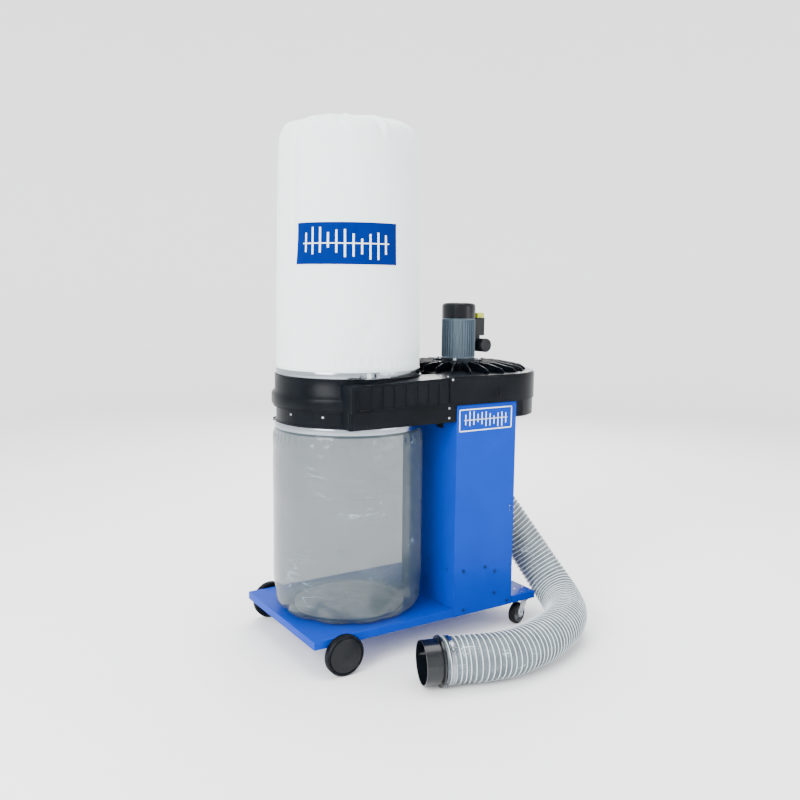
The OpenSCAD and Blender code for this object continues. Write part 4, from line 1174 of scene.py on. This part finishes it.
def dress_cad_nodes() -> None:
    """Gives every CAD node its finish, and the rest of the shown ones a rounded copy."""
    slots = {s["node"]: s["material_slot"] for s in frame["record"]["subparts"]}
    for name, node in frame["nodes"].items():
        node.data.materials.clear()
        node.data.materials.append(FINISHES[slots[name]].material())
    for name, radius in ROUNDED.items():
        RoundedNode(name, radius).build()


# ------------------------------------------------------------------ screws


@dataclass
class Screws:
    """Pan-head screws with a cross recess, in place of a CAD node's plain ones."""

    node: str
    head_radius: float
    head_height: float
    slot: str
    facing: Callable[[np.ndarray], Vector]

    def _head(self) -> bpy.types.Mesh:
        """One head, seated at z = 0, with its cross cut into the top."""
        turns, cut = 20, self.head_radius * 0.62
        dome = [
            (self.head_radius, 0.0), (self.head_radius, self.head_height * 0.45),
            (self.head_radius * 0.86, self.head_height * 0.8), (cut, self.head_height),
        ]
        points = turned(dome, turns)
        narrow = self.head_radius * 0.30
        for arm, waist, depth in ((cut * 0.96, narrow, 0.97), (cut * 0.7, narrow * 0.8, 0.35)):
            for k in range(turns):
                a = FULL_TURN * k / turns
                r = arm if k % 5 == 0 else waist
                points.append((r * math.cos(a), r * math.sin(a), self.head_height * depth))
        faces = grid_faces(6, turns, True)
        faces.append(tuple(range(5 * turns, 6 * turns)))
        faces.append(tuple(reversed(range(turns))))
        return mesh_from(np.array(points), faces, 30)

    def build(self) -> None:
        """Sets a screw at each of the node's loose parts."""
        places = []
        for corners in islands(self.node):
            way = self.facing(corners)
            reach = max(Vector(c).dot(way) for c in corners)
            middle = Vector((corners.min(0) + corners.max(0)) / 2)
            flat = middle - way * middle.dot(way)
            places.append((flat + way * (reach - self.head_height), way))
        mesh = scatter(self.node + "_heads", self._head(), places, self.slot)
        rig.replaces(piece(self.node + "_cross", mesh, "frame", self.slot), self.node)


def column_facing(corners: np.ndarray) -> Vector:
    """Which way a column screw points: out of the front or out of the left side."""
    thin = corners.max(0) - corners.min(0)
    front = thin[0] > thin[1] or corners[:, 1].min() < COLUMN_FRONT
    return Vector((0, -1, 0)) if front else Vector((-1, 0, 0))


def ring_facing(corners: np.ndarray) -> Vector:
    """Which way a ring screw points: up, out of the duct's front, or away from the ring's axis."""
    middle = corners.mean(0)
    if middle[2] > 0.833:
        return Vector((0, 0, 1))
    if middle[1] < -0.2 and middle[0] > -0.02:
        return Vector((0, -1, 0))
    return Vector((middle[0] - RING_X, middle[1], 0)).normalized()


def housing_facing(corners: np.ndarray) -> Vector:
    """Which way a housing screw points: up from the cover, down from the spigot."""
    return Vector((0, 0, 1 if corners.mean(0)[2] > 0.8 else -1))


# ------------------------------------------------------------------ motor


@dataclass
class MotorFins:
    """The motor's drawn body: a core with cooling fins all round."""

    fins: int = 36
    fin_depth: float = 0.005
    fin_width: float = 0.0022
    fin_end: float = 0.003
    sunk: float = 0.0006

    def build(self) -> None:
        """Makes the finned body in place of the CAD's."""
        low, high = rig.box("motor_body")
        middle = (low + high) / 2
        radius = (high.x - low.x) / 2
        core = radius - self.fin_depth
        fin = self._fin(high.z - low.z - 2 * self.fin_end)
        foot = Vector((middle.x, middle.y, low.z + self.fin_end))
        places = []
        for k in range(self.fins):
            a = FULL_TURN * k / self.fins
            way = Vector((math.cos(a), math.sin(a), 0))
            places.append((foot + way * (core - self.sunk), way))
        fins = scatter("motor_fins", fin, places, "motor_alu", side=(0, 0, -1))
        body = joined([fins, self._core(middle, core, low.z, high.z)])
        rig.replaces(piece("motor_body_finned", body, "frame", "motor_alu"), "motor_body")

    def _fin(self, height: float) -> bpy.types.Mesh:
        """A fin that points along +Z, its height along X, as the align node turns it."""
        half, depth = self.fin_width / 2, self.fin_depth + self.sunk
        shoulder, brow = depth - 0.0008, depth - 0.0002
        outline = [
            (half, 0.0), (half, shoulder), (half * 0.55, brow), (0.0, depth),
            (-half * 0.55, brow), (-half, shoulder), (-half, 0.0),
        ]
        n = len(outline)
        points = [(-z, y, d) for z in (0.0, height) for y, d in outline]
        faces = grid_faces(2, n, True) + [tuple(range(n, 2 * n)), tuple(reversed(range(n)))]
        return turned_out(mesh_from(np.array(points), faces, 50))

    def _core(self, middle: Vector, radius: float, low: float, high: float) -> bpy.types.Mesh:
        """The round core under the fins, with a land at each end."""
        turns = 144
        inside, land = radius - 0.004, radius + 0.0035
        section = [
            (inside, low), (land, low), (land, low + 0.004), (radius, low + 0.005),
            (radius, high - 0.005), (land, high - 0.004), (land, high), (inside, high),
        ]
        points = turned(section, turns, (middle.x, middle.y))
        faces = grid_faces(len(section), turns, True)
        last = (len(section) - 1) * turns
        faces += [(last + j, last + (j + 1) % turns, (j + 1) % turns, j) for j in range(turns)]
        return mesh_from(np.array(points), faces, 40)


# ------------------------------------------------------------------ bags


def bump_at(angle: np.ndarray, centre: float, width: float) -> np.ndarray:
    """A smooth bump round the ring, 1 at its centre, in degrees."""
    away = (angle - centre + 180) % 360 - 180
    return np.exp(-((away / width) ** 2))


def bell(x: np.ndarray, centre: float, width: float) -> np.ndarray:
    """A smooth bump along a line, 1 at its centre."""
    return np.exp(-(((x - centre) / width) ** 2))


def ramp(x: np.ndarray, low: float, high: float) -> np.ndarray:
    """A smooth step from 0 at low to 1 at high."""
    t = np.clip((x - low) / (high - low), 0, 1)
    return t * t * (3 - 2 * t)


@dataclass
class WrinkleField:
    """Slow random waves round and along a bag, the same on each run."""

    seed: int
    waves: int = 14
    most_turns: int = 9
    longest: float = 0.5

    def at(self, angle: np.ndarray, height: np.ndarray) -> np.ndarray:
        """The waves' sum at an angle in degrees and a height in metres, from about -1 to 1."""
        draw = np.random.default_rng(self.seed)
        total = np.zeros(np.broadcast(angle, height).shape)
        for _ in range(self.waves):
            turns = draw.integers(1, self.most_turns + 1)
            rise = draw.uniform(-1, 1) * 2 * math.pi / self.longest
            phase = np.radians(angle) * turns + rise * height + draw.uniform(0, 6.28)
            total += np.sin(phase) / math.sqrt(turns)
        return total / math.sqrt(self.waves)


@dataclass(frozen=True)
class Fold:
    """A dent or a ridge in a bag's wall that may lean; depths in metres, heights in millimetres."""

    depth: float
    angle: float
    width: float
    height: float
    tall: float
    lean: float = 0.0
    pivot: float = 0.0

    def at(self, angle: np.ndarray, z: np.ndarray) -> np.ndarray:
        """How far it moves the wall outwards at an angle in degrees and a height in metres."""
        leaning = angle - (z - self.pivot) * self.lean
        across = bump_at(leaning, self.angle, self.width)
        return self.depth * across * bell(z * 1000, self.height, self.tall)


@dataclass(frozen=True)
class Pleats:
    """Pleats round a bag, each a little out of its regular place, the same on each run."""

    seed: int
    spacing: int
    wander: float
    slant: float
    depth: tuple[float, float]
    width: tuple[float, float]

    def __iter__(self) -> Iterator[tuple[float, float, float, float]]:
        """Each pleat's angle, slant in degrees a metre, depth and width."""
        draw = np.random.default_rng(self.seed)
        for centre in np.arange(0, 360, self.spacing):
            yield (
                centre + draw.uniform(-self.wander, self.wander),
                draw.uniform(-self.slant, self.slant),
                draw.uniform(*self.depth),
                draw.uniform(*self.width),
            )


def half_section(
    points: Sequence[tuple[float, float]], t: np.ndarray
) -> tuple[np.ndarray, np.ndarray]:
    """The radius and the height on a smooth half section.

    Args:
        points: The radii and heights that it goes through.
        t: 0 at the first point, 1 at the last.

    Returns:
        The radius and the height at t.
    """
    line = smooth_path([(r, z, 0) for r, z in points], 10)
    run = np.r_[0, np.cumsum(np.linalg.norm(np.diff(line, axis=0), axis=1))]
    run /= run[-1]
    return np.maximum(np.interp(t, run, line[:, 0]), 0), np.interp(t, run, line[:, 1])


def on_ring(r: np.ndarray, angle: np.ndarray, z: np.ndarray) -> np.ndarray:
    """Points at radii, angles in degrees and heights round the cyclone ring's axis."""
    a = np.radians(angle)
    return np.stack([RING_X + r * np.cos(a), r * np.sin(a), z + 0 * r], -1)


def mark_strokes(
    left: float, right: float, low: float, high: float
) -> Iterator[tuple[float, float, float]]:
    """The plain mark of both labels: each stroke's place across, its foot and its top."""
    middle, tall = (low + high) / 2, high - low
    for k in range(STROKES):
        share = (k + 0.5) / STROKES
        half = tall * (0.16 + 0.17 * abs(math.sin(share * 3 * math.pi)))
        shift = tall * 0.08 * math.sin(share * 2 * math.pi)
        across = left + (right - left) * (0.08 + 0.84 * share)
        yield across, middle + shift - half, middle + shift + half


CLOTH_FOLDS = (
    Fold(-0.0060, -146, 6, 950, 38, lean=420, pivot=0.95),
    Fold(0.0050, -152, 3.5, 945, 38, lean=380, pivot=0.93),
    Fold(-0.0032, -100, 5, 985, 60, lean=160, pivot=1.0),
    Fold(-0.0030, -120, 6, 1420, 70, lean=-120, pivot=1.4),
)
CROWN_PLEATS = Pleats(21, 24, 8, 260, (0.009, 0.019), (1.9, 3.6))
FILM_FOLDS = (
    Fold(0.0022, -128, 26, 640, 20), Fold(0.0026, -104, 14, 652, 14),
    Fold(0.0016, -140, 12, 612, 12), Fold(0.0022, -138, 12, 505, 10),
    Fold(0.0008, -112, 18, 520, 40), Fold(0.0018, -126, 22, 350, 14),
    Fold(0.0016, -108, 12, 362, 12), Fold(0.0016, -60, 20, 600, 26),
    Fold(0.0016, 20, 30, 590, 30), Fold(0.0014, 110, 26, 520, 40),
    Fold(0.0016, 170, 24, 610, 30), Fold(0.0010, -175, 14, 420, 40),
)
FLOOR_PLEATS = Pleats(31, 30, 10, 420, (0.005, 0.011), (4, 8))


@dataclass
class FilterBag:
    """The cloth bag, blown up by the fan: a lofted shell with folds, gathered at both ends."""

    hem_radius: float = 0.2189
    low: float = 0.8415
    top: float = 1.600
    cloth: float = 0.0014
    rows: int = 210
    columns: int = 288
    label_low: float = 1.164
    label_high: float = 1.280
    label_from: float = -163.0
    label_to: float = -80.0
    label_border: tuple[float, float] = (0.9, 0.003)
    stroke_half: float = 0.75
    bar_inset: float = 7.0
    bar_half: float = 0.0016
    fold_angle: float = -163.0
    fold_depth: float = 0.0105
    fold_fade: float = 13.0
    seam_angle: float = 61.0
    seam_half: float = 1.4
    seam_stitches: int = 170
    hem_stitches: int = 320
    hem_place: float = 0.026
    flat_radius: float = 0.214
    flat_length: float = 0.95

    def outline(self, t: np.ndarray) -> tuple[np.ndarray, np.ndarray]:
        """The bag's half section.

        Args:
            t: 0 at the bottom hem, 1 at the crown's middle.

        Returns:
            The radius and the height at t.
        """
        points = [
            (self.hem_radius, self.low), (self.hem_radius, self.low + 0.018),
            (0.2190, 0.90), (0.2182, 1.00), (0.2165, 1.12), (0.2140, 1.25), (0.2120, 1.37),
            (0.2100, 1.46), (0.2085, 1.515), (0.2040, 1.542), (0.1920, 1.5600), (0.1700, 1.5725),
            (0.1350, 1.5830), (0.0850, 1.5930), (0.0400, 1.5980), (0.0, self.top),
        ]
        return half_section(points, t)

    def surface(self, angle: np.ndarray, t: np.ndarray, lift: float = 0.0) -> np.ndarray:
        """Points of the outer face.

        Args:
            angle: The angle round the bag in degrees.
            t: The place along the half section.
            lift: The distance outside the face.

        Returns:
            The points, in the shape of the arguments.
        """
        r, z = self.outline(t)
        slow = WrinkleField(3, most_turns=6, longest=0.9).at(angle, z)
        crisp = WrinkleField(8, waves=20, most_turns=22, longest=0.16).at(angle, z)
        body = ramp(z, 0.862, 0.93) * (1 - ramp(r * -1, -0.19, -0.12))
        push = 0.0024 * slow * body + 0.0009 * crisp * body
        # a long fold down the left, which flattens the cloth beside it
        away = (angle - self.fold_angle + 180) % 360 - 180
        crease = ramp(away, -2.2, 0.8) * np.exp(-np.maximum(away, 0) / self.fold_fade)
        upper = ramp(z, 1.10, 1.26) * ramp(-z, -1.58, -1.50) + 0.75 * bell(z, 0.99, 0.075)
        push += -self.fold_depth * crease * upper + 0.0040 * bump_at(angle, -169, 4) * upper
        for fold in CLOTH_FOLDS:
            push += fold.at(angle, z)
        # small gathers above the band
        gather = np.abs(np.sin(np.radians(angle) * 31 + 1.3 * np.sin(np.radians(angle) * 5)))
        push += -0.0030 * gather * bell(z * 1000, 893, 13)
        # pleats where the wall turns into the crown
        edge = bell(z * 1000, 1566, 34) * ramp(r, 0.02, 0.10)
        for at, slant, depth, width in CROWN_PLEATS:
            leaning = angle - (z - 1.57) * slant
            push += -depth * bump_at(leaning, at, width) * edge
            push += 0.45 * depth * bump_at(leaning, at + 2.1 * width, width * 1.3) * edge
        crown = ramp(-r, -0.17, -0.04)
        sag = 0.006 * slow * crown
        z = z - sag - 0.0026 * np.abs(crisp) * crown + push * 0.6 * ramp(z, 1.55, 1.60)
        r = r + push * (1 - 0.8 * crown) * ramp(r, 0.0, 0.03) + lift
        return on_ring(r, angle, np.minimum(z, self.top + 0.0005))

    def build(self) -> None:
        """Makes the bag, its seams and its label."""
        angle, t = np.meshgrid(
            np.linspace(0, 360, self.columns, endpoint=False), np.linspace(0, 0.992, self.rows)
        )
        outer = self.surface(angle, t).reshape(-1, 3)
        n = self.columns
        faces = grid_faces(self.rows, n, True)
        points = np.vstack([outer, [[RING_X, 0.0, self.top - 0.001]]])
        last = (self.rows - 1) * n
        faces += [(last + j, last + (j + 1) % n, len(outer)) for j in range(n)]
        mesh = mesh_from(points, faces, 70)
        bag = piece("filter_bag_cloth", mesh, "frame", "filter_cloth")
        thick = bag.modifiers.new("cloth", "SOLIDIFY")
        thick.thickness, thick.offset = self.cloth, -1.0
        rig.replaces(bag, "filter_bag")
        labels = self.label()
        seams = self.seams()
        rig.sheet(
            bag,
            flat=(round(FULL_TURN * self.flat_radius, 2), self.flat_length),
            held="stretched",
            rests_on=["ring_upper_round"],
            with_pieces=[*labels, *seams],
        )

    def patch(
        self,
        name: str,
        spans: Sequence[tuple[float, float, float, float]],
        lift: float,
        finish: str,
    ) -> bpy.types.Object:
        """A printed patch that follows the cloth.

        Args:
            name: The piece's name.
            spans: From and to angles, and low and high heights, of each field.
            lift: The distance in front of the cloth.
            finish: The print's finish.

        Returns:
            The new piece.
        """
        ts = np.linspace(0, 1, 1500)[:1200]
        heights = self.outline(ts)[1]
        points, faces = [], []
        for a0, a1, z0, z1 in spans:
            columns = max(3, int(abs(a1 - a0) / 0.6) + 1)
            rows = max(2, int((z1 - z0) / 0.003) + 1)
            angle, z = np.meshgrid(np.linspace(a0, a1, columns), np.linspace(z0, z1, rows))
            t = np.interp(z, heights, ts)
            faces += grid_faces(rows, columns, False, sum(len(p) for p in points))
            points.append(self.surface(angle, t, lift).reshape(-1, 3))
        mesh = mesh_from(np.vstack(points), faces, 60)
        obj = piece(name, mesh, "frame", "filter_cloth", finish)
        thick = obj.modifiers.new("ink", "SOLIDIFY")
        thick.thickness, thick.offset = 0.0003, -1.0
        return obj

    def label(self) -> list[bpy.types.Object]:
        """The printed field with its plain mark of upright strokes."""
        a0, a1, z0, z1 = self.label_from, self.label_to, self.label_low, self.label_high
        wide, tall = self.label_border
        border = [(a0 - wide, a1 + wide, z0 - tall, z1 + tall)]
        inner = [(a0, a1, z0, z1)]
        strokes = [
            (a - self.stroke_half, a + self.stroke_half, low, high)
            for a, low, high in mark_strokes(a0, a1, z0, z1)
        ]
        middle, inset, half = (z0 + z1) / 2, self.bar_inset, self.bar_half
        strokes.append((a0 + inset, a1 - inset, middle - half, middle + half))
        return [
            self.patch("filter_label_edge", border, 0.0007, "label_white"),
            self.patch("filter_label_field", inner, 0.0014, "label_blue"),
            self.patch("filter_label_mark", strokes, 0.0024, "label_white"),
        ]

    def seams(self) -> list[bpy.types.Object]:
        """The side seam at the back with its stitches, and the stitched bottom hem."""
        places = []
        seam = np.array(self.seam_angle)
        for t in np.linspace(0.05, 0.70, self.seam_stitches):
            at = Vector(self.surface(seam, np.array(t), 0.0008))
            ahead = Vector(self.surface(seam, np.array(t + 0.003), 0.0008))
            places.append((at, (ahead - at).normalized()))
        n = self.hem_stitches
        turns = np.linspace(0, 360, n, endpoint=False)
        hem = [Vector(p) for p in self.surface(turns, np.full(n, self.hem_place), 0.0006)]
        places += [(at, (hem[(k + 1) % n] - at).normalized()) for k, at in enumerate(hem)]
        mesh = scatter("bag_stitches", self._stitch(), places, "stitch_thread")
        stitches = piece("filter_bag_stitches", mesh, "frame", "filter_cloth", "stitch_thread")
        left, right = self.seam_angle - self.seam_half, self.seam_angle + self.seam_half
        span = (left, right, 0.872, 1.52)
        strip = self.patch("filter_bag_side_seam", [span], 0.0007, "filter_cloth")
        return [stitches, strip]

    def _stitch(self) -> bpy.types.Mesh:
        """One stitch that lies along +Z."""
        length, radius, sides = 0.0030, 0.0004, 5
        tip = radius * 0.4
        section = [(tip, 0.0), (radius, 0.2 * length), (radius, 0.8 * length), (tip, 1.0 * length)]
        points = turned(section, sides)
        faces = grid_faces(4, sides, True)
        faces += [tuple(range(3 * sides, 4 * sides)), tuple(reversed(range(sides)))]
        return mesh_from(np.array(points), faces, 80)


@dataclass
class ChipBag:
    """The clear film bag that stands on the base, with a little dust in it."""

    hem_radius: float = 0.2249
    high: float = 0.699
    floor: float = 0.1086
    rows: int = 220
    columns: int = 300
    flat_radius: float = 0.2335
    flat_length: float = 0.71
    dust_radius: float = 0.172
    dust_height: float = 0.012
    dust_bank: float = 0.026

    def outline(self, t: np.ndarray) -> tuple[np.ndarray, np.ndarray]:
        """The bag's half section, from the floor's middle at 0 to the hem at 1."""
        points = [
            *((r, self.floor) for r in (0.0, 0.07, 0.14, 0.190)),
            (0.2120, 0.1150), (0.2265, 0.1330), (0.2320, 0.1600), (0.2335, 0.22), (0.2335, 0.32),
            (0.2333, 0.44), (0.2335, 0.56), (0.2335, 0.62), (0.2325, 0.648), (0.2290, 0.664),
            (self.hem_radius + 0.0008, 0.674), (self.hem_radius, 0.680),
            (self.hem_radius, self.high),
        ]
        r, z = half_section(points, t)
        return r, np.maximum(z, self.floor)

    def surface(self, angle: np.ndarray, t: np.ndarray) -> np.ndarray:
        """Points of the film at an angle in degrees and a place along its half section."""
        r, z = self.outline(t)
        slow = WrinkleField(5, most_turns=7, longest=0.6).at(angle, z)
        crisp = WrinkleField(15, waves=26, most_turns=40, longest=0.05).at(angle, z)
        wall = ramp(z, 0.12, 0.20) * ramp(-z, -0.672, -0.64)
        push = -0.0012 * np.abs(slow) * wall
        # crinkles under the hem, in the middle and low down at the front
        for fold in FILM_FOLDS:
            push += -2.2 * (0.5 + 0.5 * crisp) * fold.at(angle, z)
        # gathers under the band
        gather = np.abs(np.sin(np.radians(angle) * 26 + 1.7 * np.sin(np.radians(angle) * 4)))
        push += -0.0032 * gather * bell(z * 1000, 655, 10)
        # big folds where the film turns in at the floor
        corner = ramp(-z, -0.21, -0.125) * ramp(r, 0.10, 0.20)
        for at, slant, depth, width in FLOOR_PLEATS:
            push += -depth * bump_at(angle - (z - 0.13) * slant, at, width) * corner
        r = np.maximum(r + push * ramp(r, 0.0, 0.05), 0)
        return on_ring(r, angle, z + 0.0016 * np.abs(crisp) * corner)

    def build(self) -> None:
        """Makes the film and the dust."""
        angle, t = np.meshgrid(
            np.linspace(0, 360, self.columns, endpoint=False), np.linspace(0.012, 1, self.rows)
        )
        wall = self.surface(angle, t).reshape(-1, 3)
        n = self.columns
        faces = grid_faces(self.rows, n, True)
        faces += [((j + 1) % n, j, len(wall)) for j in range(n)]
        points = np.vstack([wall, [[RING_X, 0, self.floor]]])
        bag = piece("chip_bag_film", mesh_from(points, faces, 70), "frame", "clear_film")
        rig.replaces(bag, "chip_bag")
        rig.sheet(
            bag,
            flat=(round(FULL_TURN * self.flat_radius, 2), self.flat_length),
            held="stretched",
            rests_on=["base_plate_round"],
            with_pieces=[self.dust()],
        )

    def dust(self) -> bpy.types.Object:
        """A low, uneven heap of dust on the bag's floor."""
        rings, turns = 40, 160
        round_it = np.linspace(0, 360, turns, endpoint=False)
        share, angle = np.meshgrid(np.linspace(0.01, 1, rings), round_it, indexing="ij")
        edge = self.dust_radius + 0.014 * WrinkleField(44, most_turns=7).at(angle, 0 * angle)
        r = share * edge
        lumps = WrinkleField(45, waves=30, most_turns=14, longest=0.06).at(angle, r)
        heap = self.dust_height * (1 - share**1.6) + 0.0025 * lumps * (1 - share**4)
        heap += self.dust_bank * bump_at(angle, -110, 55) * bell(share, 0.62, 0.30)
        points = on_ring(r, angle, self.floor + 0.0012 + np.maximum(heap, 0)).reshape(-1, 3)
        faces = [tuple(reversed(f)) for f in grid_faces(rings, turns, True)]
        faces += [tuple(range(turns))]
        low = np.array(points[-turns:])
        low[:, 2] = self.floor + 0.0008
        first = len(points)
        for j in range(turns):
            k = (j + 1) % turns
            faces.append((first + j, first + k, first - turns + k, first - turns + j))
        faces += [tuple(reversed(range(first, first + turns)))]
        mesh = turned_out(mesh_from(np.vstack([points, low]), faces, 60))
        return piece("chip_bag_dust", smoothed(mesh, 60), "frame", "clear_film", "wood_dust")


# ------------------------------------------------------------------ plates and trim


@dataclass
class ColumnLabel:
    """The white-lined field at the top of the column's front, with its plain mark."""

    left: float = 0.0445
    right: float = 0.2495
    low: float = 0.668
    high: float = 0.737
    line: float = 0.0032
    film: float = 0.0004
    bar_inset: float = 0.018
    bar_half: float = 0.0009

    def _bar(self, x0: float, x1: float, z0: float, z1: float) -> bpy.types.Mesh:
        """A flat bar on the column's front."""
        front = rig.box("column")[0].y
        return box_mesh((x0, front - self.film, z0), (x1, front + 0.0002, z1), 0.0001)

    def build(self) -> None:
        """Makes the frame line and the mark."""
        bars = [
            self._bar(self.left, self.right, self.high - self.line, self.high),
            self._bar(self.left, self.right, self.low, self.low + self.line),
            self._bar(self.left, self.left + self.line, self.low, self.high),
            self._bar(self.right - self.line, self.right, self.low, self.high),
        ]
        for x, low, high in mark_strokes(self.left, self.right, self.low, self.high):
            bars.append(self._bar(x - self.line / 2, x + self.line / 2, low, high))
        middle, inset, half = (self.low + self.high) / 2, self.bar_inset, self.bar_half
        bars.append(self._bar(self.left + inset, self.right - inset, middle - half, middle + half))
        piece("column_label", joined(bars), "frame", "blue_paint", "label_white")


def main() -> None:
    """Builds the studio and every sub-assembly in order."""
    logging.basicConfig(level=logging.INFO, format="%(message)s")
    Studio().build()
    dress_cad_nodes()
    SuctionHose().build()
    for screws in (
        Screws("column_screws", 0.006, 0.003, slot="dark_screw", facing=column_facing),
        Screws("ring_screws", 0.0036, 0.002, slot="zinc", facing=ring_facing),
        Screws("housing_screws", 0.005, 0.003, slot="zinc", facing=housing_facing),
    ):
        screws.build()
    MotorFins().build()
    FilterBag().build()
    ChipBag().build()
    ColumnLabel().build()
    low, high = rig.bounds()
    with open(SIZE_FILE, "w") as out:
        json.dump({"cad": [list(cad_low), list(cad_high)], "visual": [list(low), list(high)]}, out)


if __name__ == "__main__":
    main()
